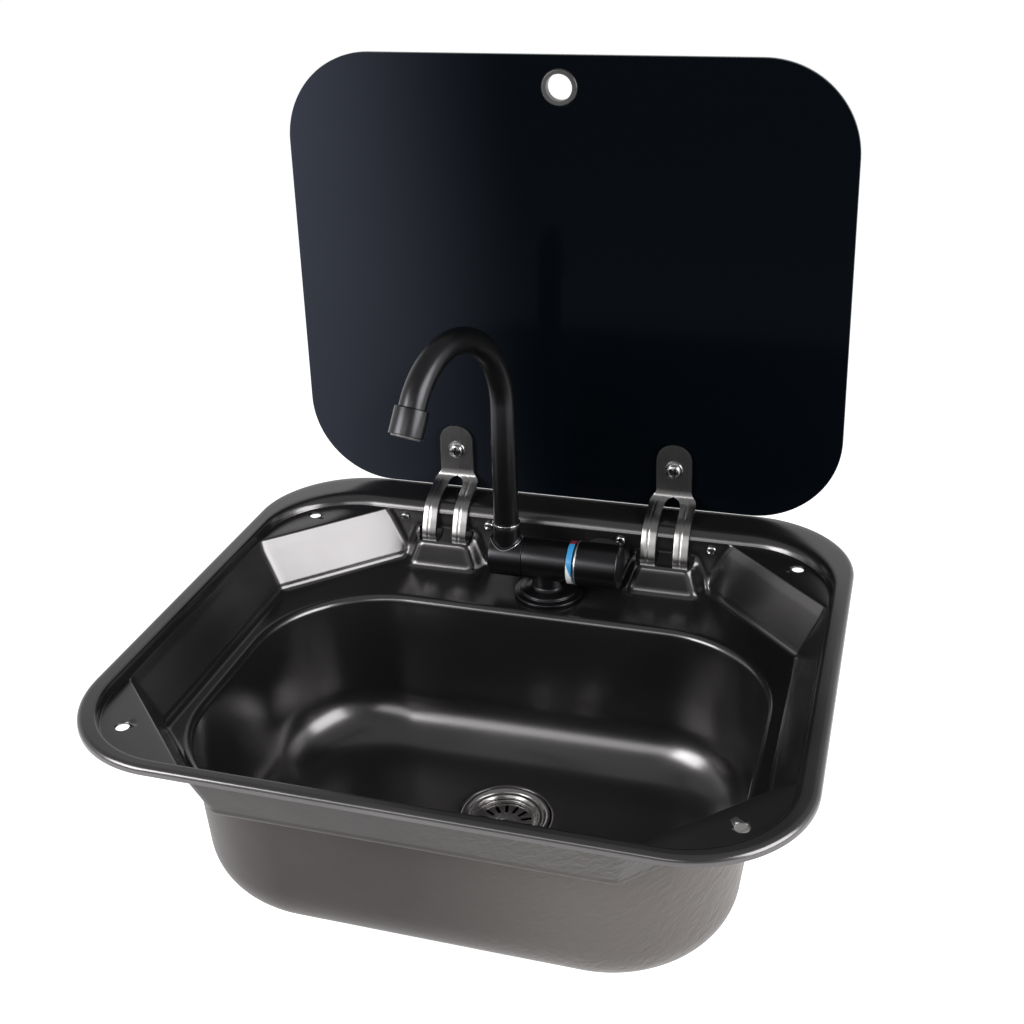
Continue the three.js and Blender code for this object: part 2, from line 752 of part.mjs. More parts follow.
// ---- tap, in a frame on the deck below the middle of the barrel --------------------------------
function makeTapBody() {
  const { flangeRadius, neckRadius, barrelRadius, barrelLeft, barrelRight, axisZ } = tap;
  const seat = tray.deckZ + 1.3;
  const post = turned([
    [0, tap.shankEndZ], [tap.shankRadius - 1, tap.shankEndZ], [tap.shankRadius, tap.shankEndZ + 1],
    [tap.shankRadius, seat], [flangeRadius, seat], [flangeRadius, seat + 1.2],
    [flangeRadius - 0.9, seat + 2], [20.2, seat + 2.4], [19.8, seat + 3.6], [17.8, seat + 5],
    [13.6, seat + 6], [neckRadius, seat + 7.6], [neckRadius, axisZ], [0, axisZ],
  ], 32);
  const barrel = alongX(turned([
    [0, barrelLeft], [barrelRadius - 1, barrelLeft], [barrelRadius, barrelLeft + 1],
    [barrelRadius, barrelRight], [0, barrelRight],
  ], 36)).translate([0, 0, axisZ]);
  const spigot = alongX(turned([
    [0, barrelLeft - 14], [6.5, barrelLeft - 14], [7, barrelLeft - 13.4], [7, barrelLeft + 2],
    [0, barrelLeft + 2],
  ], 28)).translate([0, 0, axisZ]);
  const bore = alongX(disc(tap.cartridgeRadius + gap, -6, barrelRight + 1, 28));
  const wayIn = (y) => disc(4.3, tap.shankEndZ - 1, tap.shankEndZ + 16, 16).translate([0, y, 0]);
  return post
    .add(barrel)
    .add(spigot)
    .subtract(bore.translate([0, 0, axisZ]))
    .subtract(wayIn(-7))
    .subtract(wayIn(7));
}

function makeFoldCollar() {
  const { barrelRadius, barrelLeft, collarLeft, axisZ, spoutX } = tap;
  const right = barrelLeft - gap;
  const drum = alongX(turned([
    [0, collarLeft], [barrelRadius - 1.2, collarLeft], [barrelRadius, collarLeft + 1.2],
    [barrelRadius, right - 0.6], [barrelRadius - 0.6, right], [0, right],
  ], 36)).translate([0, 0, axisZ]);
  const socket = disc(spout.socketRadius, axisZ, spout.ringZ - gap, 32).translate([spoutX, 0, 0]);
  const bore = alongX(disc(7.1, barrelLeft - 14.4, right + 1, 28)).translate([0, 0, axisZ]);
  const spoutBore = disc(spout.spigotRadius + 0.1, 0.4, 20, 24).translate([spoutX, 0, 0]);
  return drum.add(socket).subtract(bore).subtract(spoutBore);
}

function makeCartridge() {
  const { cartridgeRadius, barrelRight, knobLeft } = tap;
  return alongX(turned([
    [0, -5.6], [cartridgeRadius - 0.8, -5.6], [cartridgeRadius, -4.8],
    [cartridgeRadius, barrelRight + 6.4], [4, barrelRight + 6.4], [4, knobLeft + 12], [0, knobLeft + 12],
  ], 28)).translate([0, 0, tap.axisZ]);
}

function makeIndicatorRing() {
  const { barrelRight, cartridgeRadius, ringRadius } = tap;
  return alongX(washer(cartridgeRadius + gap, ringRadius, barrelRight + gap, barrelRight + 4.5, 36))
    .translate([0, 0, tap.axisZ]);
}

function makeTrimRing() {
  const { barrelRight, cartridgeRadius, knobRadius } = tap;
  return alongX(turned([
    [cartridgeRadius + gap, barrelRight + 4.8], [14, barrelRight + 4.8], [14, barrelRight + 5.5],
    [knobRadius, barrelRight + 5.7], [knobRadius, barrelRight + 6.7],
    [cartridgeRadius + gap, barrelRight + 6.7], [cartridgeRadius + gap, barrelRight + 4.8],
  ], 36)).translate([0, 0, tap.axisZ]);
}

// The knob carries a short thumb lever on its back.
function makeKnob() {
  const { knobRadius, knobLeft, knobRight, axisZ } = tap;
  const drum = alongX(turned([
    [0, knobLeft], [knobRadius - 0.5, knobLeft], [knobRadius, knobLeft + 0.5],
    [knobRadius, knobRight - 1.6], [knobRadius - 1.6, knobRight], [0, knobRight],
  ], 40));
  const lever = new THREE.Shape();
  lever.moveTo(knobLeft + 4, 0);
  lever.lineTo(knobRight - 4, 0);
  lever.lineTo(knobRight - 5, knobRadius + 3);
  lever.quadraticCurveTo((knobLeft + knobRight) / 2, knobRadius + 6, knobLeft + 5, knobRadius + 3);
  lever.closePath();
  const tongue = raised(lever, -2.2, 2.2, 6).rotate([90, 0, 0]).rotate([-42, 0, 0]);
  const bore = alongX(disc(4.2, knobLeft - 1, knobLeft + 13, 16));
  return drum.add(tongue).subtract(bore).translate([0, 0, axisZ]);
}

function makeLocknut() {
  const nut = raised(hexagon(40), tray.deckZ - 10.6, tray.deckZ - 4.2);
  return nut.subtract(disc(tap.shankRadius + gap, -60, -30, 32));
}

// A short rigid inlet tail with a hose barb on its end.
function makeInletTail(y) {
  const top = tap.shankEndZ + 15;
  const end = tap.shankEndZ - 26;
  return turned([
    [2.4, end], [4, end], [5.4, end + 4], [4.2, end + 4], [5.4, end + 8], [4, end + 8],
    [4, top], [2.4, top], [2.4, end],
  ], 16).translate([0, y, 0]);
}

// ---- spout, in a frame on the deck line, turned to its heading ----------------------------------
// The stations lie one to a straight and evenly round the two bends.
class SpoutCurve extends THREE.Curve {
  constructor() {
    super();
    this.steps = [1, 8, 8, 1];
    this.total = this.steps.reduce((sum, step) => sum + step, 0);
  }

  getUtoTmapping(u) {
    return u;
  }

  // X is the way the spout reaches, and the curve stays in the plane y = 0.
  getPoint(t, target = new THREE.Vector3()) {
    const { riseZ, tubeStartZ, firstRadius, firstTurn, secondRadius, fullTurn, tail } = spout;
    const [rise, first, second] = this.steps;
    const station = t * this.total;
    if (station <= rise) return target.set(0, 0, tubeStartZ + (riseZ - tubeStartZ) * (station / rise));
    if (station <= rise + first) {
      const turn = firstTurn * ((station - rise) / first);
      return target.set(firstRadius * (1 - Math.cos(turn)), 0, riseZ + firstRadius * Math.sin(turn));
    }
    const growth = secondRadius - firstRadius;
    const centreX = firstRadius + growth * Math.cos(firstTurn);
    const centreZ = riseZ - growth * Math.sin(firstTurn);
    const part = (station - rise - first) / second;
    const turn = firstTurn + (fullTurn - firstTurn) * Math.min(part, 1);
    const past = tail * Math.max(station - rise - first - second, 0);
    return target.set(
      centreX - secondRadius * Math.cos(turn) + past * Math.sin(fullTurn),
      0,
      centreZ + secondRadius * Math.sin(turn) + past * Math.cos(fullTurn),
    );
  }
}

function sweptTube(radius, curveSegments) {
  const section = new THREE.Shape();
  section.absarc(0, 0, radius, 0, Math.PI * 2);
  const path = new SpoutCurve();
  return solidOf(new THREE.ExtrudeGeometry(section, {
    extrudePath: path,
    steps: path.total,
    curveSegments,
  }));
}

function makeSpoutTube() {
  const { tubeRadius, tubeWall, spigotRadius, spigotBore, spigotLength, tubeStartZ } = spout;
  const plug = disc(tubeRadius - tubeWall / 2, tubeStartZ, tubeStartZ + 4, 24);
  const spigot = disc(spigotRadius, tubeStartZ - spigotLength, tubeStartZ + 2, 24);
  const bore = disc(spigotBore, tubeStartZ - spigotLength - 1, tubeStartZ + 6, 16);
  return sweptTube(tubeRadius, 12)
    .subtract(sweptTube(tubeRadius - tubeWall, 8))
    .add(plug)
    .add(spigot)
    .subtract(bore);
}

function makeSpoutRing() {
  const { spigotRadius, ringZ, tubeStartZ } = spout;
  return turned([
    [spigotRadius + gap, ringZ], [9, ringZ], [9.7, ringZ + 0.5], [9.7, ringZ + 1],
    [9, tubeStartZ - gap], [spigotRadius + gap, tubeStartZ - gap], [spigotRadius + gap, ringZ],
  ], 32);
}

// Nozzle pieces are made about +Z and then hung on the end of the tube.
function onSpoutEnd(mesh) {
  const curve = new SpoutCurve();
  mesh.position.copy(curve.getPoint(1));
  mesh.rotation.y = spout.fullTurn;
  return mesh;
}

function makeNozzle() {
  const { nozzleRadius, nozzleLength, tubeRadius } = spout;
  return turned([
    [6, gap], [tubeRadius, gap], [nozzleRadius - 0.6, gap], [nozzleRadius, 0.9],
    [nozzleRadius, nozzleLength - 0.6], [nozzleRadius - 0.6, nozzleLength], [9.6, nozzleLength],
    [9.6, nozzleLength - 6], [6, nozzleLength - 6], [6, gap],
  ], 36);
}

function makeAerator() {
  const { nozzleLength } = spout;
  return turned([
    [0, nozzleLength - 5.7], [9.2, nozzleLength - 5.7], [9.2, nozzleLength + 0.6],
    [8.6, nozzleLength + 1.2], [7.4, nozzleLength + 1.2], [7.4, nozzleLength - 2.4],
    [0, nozzleLength - 2.4],
  ], 30);
}

// ---- waste, in a frame on the drain's axis ------------------------------------------------------
function makeStrainer() {
  const top = drain.cupZ + 2.6;
  let plate = turned([
    [0, drain.cupZ - 1.6], [19.4, drain.cupZ - 1.6], [20.4, drain.cupZ + gap],
    [28.4, drain.cupZ + gap], [28.6, top - 0.6], [27.6, top], [25.6, top], [24.4, top - 0.9],
    [23.6, top - 0.9], [22.8, top - 0.3], [21.8, top - 0.5], [19.6, drain.cupZ],
    [18.8, drain.cupZ - 0.4], [7.4, drain.cupZ - 0.4], [6.4, drain.cupZ + 0.6], [0, drain.cupZ + 0.6],
  ], 36);
  for (let i = 0; i < 12; i += 1) {
    const slot = block(10.6, 17.3, -1.25, 1.25, drain.cupZ - 5, drain.cupZ + 5);
    plate = plate.subtract(slot.rotate([0, 0, i * 30 + 15]));
  }
  return plate.subtract(disc(3.3, drain.cupZ - 9, drain.cupZ + 9, 16));
}

function makeWasteBody() {
  const top = drain.cupZ - sheet - 2 * gap - 2;
  const floor = top - 14;
  const end = floor - 30;
  const cup = turned([
    [0, end], [12.2, end], [12.9, end + 2], [12.4, end + 4], [12.9, end + 6], [12.4, end + 8],
    [12.4, floor - 2], [20, floor], [24.5, floor + 4], [25, top - 3], [29, top - 3], [29, top],
    [22, top], [21.4, floor + 6], [17, floor + 2.4], [0, floor + 2.4],
  ], 28);
  const column = disc(5.4, floor - 1, top + 1.2, 20);
  const screwHole = disc(2.7, top - 8, top + 2, 16);
  const outlet = disc(10, end - 1, end + 30, 24);
  const web = block(-20.5, 20.5, -1.5, 1.5, floor, top - 4);
  return cup
    .subtract(outlet)
    .subtract(disc(10, floor - 6, floor + 4, 24))
    .add(column.intersect(disc(8, floor, top + 2, 20)))
    .add(web)
    .subtract(screwHole);
}

function makeStrainerScrew() {
  const seat = drain.cupZ + 0.6 + gap;
  return turned([
    [0, seat - 11], [1.8, seat - 11], [2.4, seat - 10.2], [2.4, seat], [4, seat],
    [4, seat + 0.6], [3, seat + 1.4], [0, seat + 1.7],
  ], 18).subtract(block(-4, 4, -0.45, 0.45, seat + 0.9, seat + 3));
}

// ---- assembly -----------------------------------------------------------------------------------
const sink = new THREE.Group();
sink.add(meshOf('basin', makeBasin(), satinBlack));
sink.add(meshOf('rim_seal', makeRimSeal(), rubber));
sink.add(hingeGroup(-1, 'left'));
sink.add(hingeGroup(1, 'right'));
sink.add(meshOf('glass_lid', makeGlass(), blackGlass));
sink.add(meshOf('finger_ring', makeFingerRing(), blackPlastic));

const tapGroup = new THREE.Group();
tapGroup.position.set(tap.x, tap.y, 0);
const underDeck = tray.deckZ - sheet - gap;
tapGroup.add(
  meshOf('tap_body', makeTapBody(), blackTap),
  meshOf('tap_gasket', washer(tap.shankRadius + gap, 22.4, tray.deckZ + gap, tray.deckZ + 1), rubber),
  meshOf('tap_washer', washer(tap.shankRadius + gap, 20.5, underDeck - 2.4, underDeck), rubber),
  meshOf('tap_locknut', makeLocknut(), brass),
  meshOf('inlet_tail_cold', makeInletTail(-7), brass),
  meshOf('inlet_tail_hot', makeInletTail(7), brass),
  meshOf('fold_collar', makeFoldCollar(), blackTap),
  meshOf('cartridge', makeCartridge(), brass),
  meshOf('indicator_ring', makeIndicatorRing(), whiteRing),
  meshOf('knob_trim_ring', makeTrimRing(), chrome),
  meshOf('knob', makeKnob(), blackTap),
);
sink.add(tapGroup);

const spoutGroup = new THREE.Group();
spoutGroup.position.set(tap.x + tap.spoutX, tap.y, 0);
spoutGroup.rotation.z = spout.heading;
spoutGroup.add(
  meshOf('spout_tube', makeSpoutTube(), blackTap),
  meshOf('spout_ring', makeSpoutRing(), chrome),
  onSpoutEnd(meshOf('nozzle', makeNozzle(), blackTap)),
  onSpoutEnd(meshOf('aerator', makeAerator(), blackPlastic)),
);
sink.add(spoutGroup);

const wasteGroup = new THREE.Group();
wasteGroup.position.set(drain.x, drain.y, 0);
const sealTop = drain.cupZ - sheet - gap;
wasteGroup.add(
  meshOf('strainer', makeStrainer(), brushedSteel),
  meshOf('strainer_screw', makeStrainerScrew(), chrome),
  meshOf('waste_gasket', washer(22, 28.6, sealTop - 2, sealTop, 36), rubber),
  meshOf('waste_body', makeWasteBody(), blackPlastic),
);
sink.add(wasteGroup);

export default sink;
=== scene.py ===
import math

import bmesh
import bpy
import numpy as np
from mathutils import Matrix, Vector


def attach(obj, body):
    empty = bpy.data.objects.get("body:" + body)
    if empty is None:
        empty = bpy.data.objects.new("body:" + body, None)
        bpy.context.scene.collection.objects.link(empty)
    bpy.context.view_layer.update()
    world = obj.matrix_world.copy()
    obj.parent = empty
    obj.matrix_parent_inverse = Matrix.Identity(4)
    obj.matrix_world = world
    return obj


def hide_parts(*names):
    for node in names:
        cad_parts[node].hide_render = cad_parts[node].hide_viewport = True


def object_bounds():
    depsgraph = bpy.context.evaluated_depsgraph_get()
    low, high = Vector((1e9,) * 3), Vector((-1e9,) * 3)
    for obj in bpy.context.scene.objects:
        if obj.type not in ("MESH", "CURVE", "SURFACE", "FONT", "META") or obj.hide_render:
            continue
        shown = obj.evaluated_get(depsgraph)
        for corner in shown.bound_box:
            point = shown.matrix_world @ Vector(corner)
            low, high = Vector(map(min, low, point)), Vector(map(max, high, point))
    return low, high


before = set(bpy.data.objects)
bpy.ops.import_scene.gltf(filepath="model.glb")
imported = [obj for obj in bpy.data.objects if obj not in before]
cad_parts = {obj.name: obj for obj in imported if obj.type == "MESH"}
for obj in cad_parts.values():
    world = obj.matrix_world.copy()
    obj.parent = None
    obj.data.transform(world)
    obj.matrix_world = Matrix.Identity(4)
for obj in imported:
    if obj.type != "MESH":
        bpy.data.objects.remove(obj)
cadLow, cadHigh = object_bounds()
print("sink: frame loaded with", len(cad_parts), "nodes")

mm = 0.001
scene = bpy.context.scene


class Wire:
    # one output socket that can be used in sums

    def __init__(self, paint, socket):
        self.paint = paint
        self.socket = socket

    def maths(self, operation, first, second):
        return self.paint.node("ShaderNodeMath", {"operation": operation}, {0: first, 1: second})

    def __add__(self, other):
        return self.maths("ADD", self, other)

    __radd__ = __add__

    def __sub__(self, other):
        return self.maths("SUBTRACT", self, other)

    def __rsub__(self, other):
        return self.maths("SUBTRACT", other, self)

    def __mul__(self, other):
        return self.maths("MULTIPLY", self, other)

    __rmul__ = __mul__

    def __pow__(self, other):
        return self.maths("POWER", self, other)

    def __rpow__(self, other):
        return self.maths("POWER", other, self)

    def most(self, other):
        return self.maths("MAXIMUM", self, other)

    def rise(self, low, high):
        # 0 below low, 1 above high, smooth between
        settings = {"interpolation_type": "SMOOTHSTEP"}
        return self.paint.node("ShaderNodeMapRange", settings, {0: self, 1: low, 2: high})


class Paint:
    # a material, its shader and the nodes that feed it

    def __init__(self, name, **constants):
        self.material = bpy.data.materials.new(name)
        self.material.use_nodes = True
        self.tree = self.material.node_tree
        self.shader = self.tree.nodes["Principled BSDF"]
        self.give(**constants)

    @classmethod
    def forWorld(cls, world):
        # the same helpers on the world's nodes, which have no shader of their own
        paint = cls.__new__(cls)
        world.use_nodes = True
        paint.tree = world.node_tree
        paint.tree.nodes.clear()
        return paint

    def give(self, **values):
        # socket names are written in camelCase: baseColor is Base Color
        for key, value in values.items():
            words = "".join(" " + c if c.isupper() else c for c in key).split()
            label = " ".join(w[0].upper() + w[1:] for w in words).replace("Ior", "IOR")
            socket = self.shader.inputs[label]
            if isinstance(value, Wire):
                self.tree.links.new(value.socket, socket)
            elif isinstance(value, tuple):
                socket.default_value = (*value, 1.0)
            else:
                socket.default_value = value

    def node(self, kind, settings=None, inputs=None, output=0):
        made = self.tree.nodes.new(kind)
        for key, value in (settings or {}).items():
            setattr(made, key, value)
        for key, value in (inputs or {}).items():
            socket = made.inputs[key]
            if isinstance(value, Wire):
                self.tree.links.new(value.socket, socket)
            else:
                socket.default_value = value
        return Wire(self, made.outputs[output]) if len(made.outputs) else None

    def place(self):
        # the point on the piece in its own frame, in metres
        return self.node("ShaderNodeTexCoord", output=3)

    def axes(self):
        point = self.place()
        return [self.node("ShaderNodeSeparateXYZ", None, {0: point}, axis) for axis in range(3)]

    def rays(self):
        # whether a ray comes from the camera, from a mirror or through glass
        return [self.node("ShaderNodeLightPath", output=k) for k in (0, 3, 6)]

    def stretched(self, scale, rotation=(0, 0, 0), point=None):
        inputs = {"Vector": point or self.place(), "Scale": scale, "Rotation": rotation}
        return self.node("ShaderNodeMapping", None, inputs)

    def noise(self, scale, detail=3.0, roughness=0.55, point=None, distortion=0.0):
        inputs = {"Vector": point or self.place(), "Scale": scale, "Detail": detail,
                  "Roughness": roughness, "Distortion": distortion}
        return self.node("ShaderNodeTexNoise", None, inputs)

    def blend(self, amount, first, second):
        pair = [(*c, 1.0) if isinstance(c, tuple) else c for c in (first, second)]
        inputs = {0: amount, 6: pair[0], 7: pair[1]}
        return self.node("ShaderNodeMix", {"data_type": "RGBA"}, inputs, 2)

    def tinted(self, amount, tint, darkest, lightest):
        # one colour that varies a little between two shares of itself
        low, high = (tuple(min(1.0, c * share) for c in tint) for share in (darkest, lightest))
        return self.blend(amount, low, high)

    def bump(self, height, strength, distance):
        inputs = {"Height": height, "Strength": strength, "Distance": distance}
        return self.node("ShaderNodeBump", None, inputs)


def meshObject(name, points, faces, smoothAngle=35.0):
    mesh = bpy.data.meshes.new(name)
    mesh.from_pydata([tuple(p) for p in points], [], faces)
    mesh.validate()
    piece = bpy.data.objects.new(name, mesh)
    scene.collection.objects.link(piece)
    tidyMesh(piece, smoothAngle)
    return piece


def tidyMesh(piece, smoothAngle):
    # doubled points are welded, faces point out, and edges sharper than the angle stay sharp
    kit = bmesh.new()
    kit.from_mesh(piece.data)
    bmesh.ops.remove_doubles(kit, verts=kit.verts, dist=0.002 * mm)
    bmesh.ops.recalc_face_normals(kit, faces=kit.faces)
    for face in kit.faces:
        face.smooth = True
    limit = math.radians(smoothAngle)
    for edge in kit.edges:
        edge.smooth = len(edge.link_faces) < 2 or edge.calc_face_angle(0.0) < limit
    kit.to_mesh(piece.data)
    kit.free()


def applied(piece):
    # the piece with its modifiers made real
    graph = bpy.context.evaluated_depsgraph_get()
    mesh = bpy.data.meshes.new_from_object(piece.evaluated_get(graph))
    piece.modifiers.clear()
    old = piece.data
    piece.data = mesh
    bpy.data.meshes.remove(old)
    return piece


def moved(piece, matrix):
    piece.data.transform(matrix)
    piece.data.update()
    return piece


def joined(name, *pieces):
    kit = bmesh.new()
    for piece in pieces:
        kit.from_mesh(piece.data)
    mesh = bpy.data.meshes.new(name)
    kit.to_mesh(mesh)
    kit.free()
    first = pieces[0]
    old = [p.data for p in pieces]
    first.data = mesh
    first.name = name
    for piece in pieces[1:]:
        bpy.data.objects.remove(piece)
    for data in old:
        if data.users == 0:
            bpy.data.meshes.remove(data)
    return first


def cut(piece, *tools, solver="EXACT"):
    tool = joined("cutter", *tools) if len(tools) > 1 else tools[0]
    step = piece.modifiers.new("cut", "BOOLEAN")
    step.operation = "DIFFERENCE"
    step.solver = solver
    step.object = tool
    applied(piece)
    bpy.data.objects.remove(tool)
    return piece


def softened(piece, width, segments, angle=30.0):
    step = piece.modifiers.new("edge", "BEVEL")
    step.width = width * mm
    step.segments = segments
    step.limit_method = "ANGLE"
    step.angle_limit = math.radians(angle)
    step.harden_normals = False
    applied(piece)
    tidyMesh(piece, 40)
    return piece


def ringSkin(rings, closedAlong=False, capFirst=False, capLast=False):
    # the points and faces of a skin over rings that have one number of points
    count = len(rings[0])
    points = [p for ring in rings for p in ring]
    faces = []
    bands = len(rings) if closedAlong else len(rings) - 1
    for r in range(bands):
        s = ((r + 1) % len(rings)) * count
        for i in range(count):
            j = (i + 1) % count
            faces.append((r * count + i, r * count + j, s + j, s + i))
    if capFirst:
        faces.append(tuple(reversed(range(count))))
    if capLast:
        start = (len(rings) - 1) * count
        faces.append(tuple(range(start, start + count)))
    return points, faces


def stack(name, layers, smoothAngle=35.0):
    # a closed solid through outlines in millimetres
    rings = [[(x * mm, y * mm, z * mm) for x, y, z in layer] for layer in layers]
    return meshObject(name, *ringSkin(rings, capFirst=True, capLast=True), smoothAngle)


def eased(first, pull, last, t):
    # a curve from first to last that leans towards pull
    return first * (1 - t) ** 2 + pull * 2 * t * (1 - t) + last * t * t


def rounded(profile, radius, steps):
    # a polyline of (r, z) whose inner corners get small arcs; a third number overrides the radius
    out = []
    for k, place in enumerate(profile):
        here = Vector(place[:2])
        size = place[2] if len(place) > 2 else radius
        if k in (0, len(profile) - 1) or size <= 0:
            out.append(tuple(here))
            continue
        back = Vector(profile[k - 1][:2]) - here
        ahead = Vector(profile[k + 1][:2]) - here
        reach = min(size, back.length * 0.48, ahead.length * 0.48)
        first = here + back.normalized() * reach
        last = here + ahead.normalized() * reach
        out += [tuple(eased(first, here, last, i / steps)) for i in range(steps + 1)]
    return out


def circle(radius, z, count):
    angles = [2 * math.pi * i / count for i in range(count)]
    return [(radius * mm * math.cos(a), radius * mm * math.sin(a), z * mm) for a in angles]


def turnedPiece(name, profile, radius=0.4, segments=96, steps=4, smoothAngle=35.0):
    # profile points are (radius, height) in millimetres, turned about Z
    rings = [circle(r, z, segments) for r, z in rounded(profile, radius, steps)]
    return meshObject(name, *ringSkin(rings), smoothAngle)


def flatRing(name, inner, outer, low, high, edge, segments):
    profile = [(inner, low), (outer, low), (outer, high), (inner, high), (inner, low)]
    return turnedPiece(name, profile, edge, segments)


def drill(radius, low, high, segments):
    return turnedPiece("drill", [(0, low), (radius, low), (radius, high), (0, high)], 0, segments)


def boxPiece(name, low, high):
    corners = [(x, y, z) for x in (low[0], high[0]) for y in (low[1], high[1]) for z in (low[2], high[2])]
    points = [(x * mm, y * mm, z * mm) for x, y, z in corners]
    faces = [(0, 1, 3, 2), (4, 6, 7, 5), (0, 4, 5, 1), (2, 3, 7, 6), (0, 2, 6, 4), (1, 5, 7, 3)]
    return meshObject(name, points, faces)


def at(x, y, z):
    return Matrix.Translation((x * mm, y * mm, z * mm))


def turn(degrees, axis):
    return Matrix.Rotation(math.radians(degrees), 4, axis)


alongX = turn(90, "Y")
alongY = turn(-90, "X")


def coat(piece, paint):
    piece.data.materials.clear()
    piece.data.materials.append(paint.material)


def dress(piece, paint, slot, body, *replaced):
    # a piece that has two materials already keeps its second one
    if len(piece.data.materials) > 1:
        piece.data.materials[0] = paint.material
    else:
        coat(piece, paint)
    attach(piece, body)
    if replaced:
        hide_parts(*replaced)


def satinSteel(name, tint, metallic, roughness, peel):
    # black coating over pressed steel: a soft mirror with a faint orange peel
    paint = Paint(name, metallic=metallic, specularIorLevel=0.5)
    cloud = paint.noise(9.0, 2.0)
    fine = paint.noise(160.0, 3.0)
    base = paint.tinted(cloud.rise(0.3, 0.7), tint, 0.9, 1.12)
    paint.give(baseColor=base, roughness=roughness + (cloud - 0.5) * 0.06 + (fine - 0.5) * 0.03)
    ripple = paint.noise(700.0, 2.0, 0.5)
    grain = paint.noise(2600.0, 2.0, 0.6)
    paint.give(normal=paint.bump(ripple + grain * 0.3, peel, 0.00012))
    return paint


# where the wrinkles and the painted highlight on the right fade in along x, and where the painted shade on
# the skirt fades in along z, in metres
coatSizes = {"litWrinklesFrom": -0.02, "litWrinklesFull": 0.12, "skirtLow": -0.052, "skirtHigh": -0.044}


def underCoat():
    # the outside of the bowl: a thick grey-brown coat, with painted shade that darkens the skirt under the
    # rim, wrinkled on the right where the coat is heavy, and paler there as a painted highlight from the lamp
    # on the right
    paint = Paint("underCoat", metallic=0.15, specularIorLevel=0.2)
    x, z = paint.axes()[::2]
    cloud = paint.noise(7.0, 3.0)
    # mask of the real wrinkles and of a painted highlight on the right side, where the lamp on the right
    # falls
    litAndWrinkled = x.rise(coatSizes["litWrinklesFrom"], coatSizes["litWrinklesFull"])
    # painted shade on the skirt under the rim
    skirtShade = z.rise(coatSizes["skirtLow"], coatSizes["skirtHigh"])
    base = paint.blend(cloud.rise(0.3, 0.72), (0.042, 0.036, 0.035), (0.061, 0.053, 0.051))
    # painted highlight: the right side is made paler, as if lit by the lamp on the right
    base = paint.blend(litAndWrinkled, base, (0.118, 0.107, 0.101))
    # painted shade: the skirt is darkened towards near black
    base = paint.blend(skirtShade * 0.5, base, (0.012, 0.011, 0.010))
    leaning = paint.stretched((1.0, 1.0, 1.0), (0.0, 0.75, 0.0))
    folds = paint.noise(135.0, 3.0, 0.5, paint.stretched((1.0, 1.0, 2.1), point=leaning), 0.6)
    swell = paint.noise(24.0, 2.0)
    grain = paint.noise(900.0, 2.0)
    height = folds * (0.12 + litAndWrinkled) + swell * 0.6 + grain * 0.04
    paint.give(baseColor=base, roughness=0.40 + (cloud - 0.5) * 0.1, normal=paint.bump(height, 0.75, 0.0011))
    return paint


def flatBlack(name, tint, roughness, metallic=0.0):
    # powder or plating black with a very fine tooth; it also gives the painted shade in the screws' cross
    # recesses
    paint = Paint(name, metallic=metallic)
    cloud = paint.noise(55.0, 3.0)
    tooth = paint.noise(2400.0, 2.0, 0.6)
    paint.give(baseColor=paint.tinted(cloud.rise(0.3, 0.7), tint, 0.95, 1.05))
    paint.give(roughness=roughness + (cloud - 0.5) * 0.03, normal=paint.bump(tooth, 0.15, 0.00006))
    return paint


def brushed(name, tint, roughness, direction, strength):
    # fine scratches that run along one direction
    paint = Paint(name, metallic=1.0)
    lines = paint.noise(1.0, 3.0, 0.7, paint.stretched(direction))
    wide = paint.noise(0.22, 2.0, 0.6, paint.stretched(direction))
    paint.give(baseColor=paint.tinted(lines.rise(0.25, 0.75), tint, 0.90, 1.08))
    paint.give(roughness=roughness + (lines - 0.5) * 0.12 + (wide - 0.5) * 0.04)
    paint.give(normal=paint.bump(lines, strength, 0.00006))
    return paint


def turnedSteel(name, tint, roughness, centre):
    # scratches that run round an upright axis
    paint = Paint(name, metallic=1.0)
    x, y, z = paint.axes()
    reach = ((x - centre[0]) ** 2.0 + (y - centre[1]) ** 2.0) ** 0.5
    ring = paint.node("ShaderNodeCombineXYZ", None, {0: reach, 1: z})
    lines = paint.noise(3200.0, 2.0, 0.6, ring)
    patch = paint.noise(120.0, 2.0)
    paint.give(baseColor=paint.tinted(lines.rise(0.25, 0.75), tint, 0.8, 1.15))
    paint.give(roughness=roughness + (lines - 0.5) * 0.2 + (patch - 0.5) * 0.06)
    paint.give(normal=paint.bump(lines, 0.35, 0.00005))
    return paint


def polished(name, tint, roughness):
    paint = Paint(name, metallic=1.0)
    haze = paint.noise(260.0, 3.0)
    paint.give(baseColor=paint.tinted(haze.rise(0.3, 0.7), tint, 0.94, 1.0))
    paint.give(roughness=roughness + (haze - 0.5) * 0.06, normal=paint.bump(haze, 0.08, 0.00005))
    return paint


def darkGlass():
    # black-printed toughened glass: deep and a little blue, and paler towards its left edge as a painted
    # reflection
    paint = Paint("darkGlass", specularIorLevel=0.012)
    x, z = paint.axes()[::2]
    cloud = paint.noise(3.0, 1.0)
    # painted reflection: a soft pale sheen painted into the colour towards the left edge
    paintedReflection = 1.0 - (x + cloud * 0.08 + z * 0.06).rise(-0.19, 0.04)
    wave = paint.noise(6.0, 1.0)
    dust = paint.noise(300.0, 3.0)
    paint.give(baseColor=paint.blend(paintedReflection, (0.0014, 0.0024, 0.0038), (0.0330, 0.0370, 0.0500)))
    paint.give(roughness=0.10 + dust.rise(0.45, 0.8) * 0.03, normal=paint.bump(wave, 0.02, 0.002))
    return paint


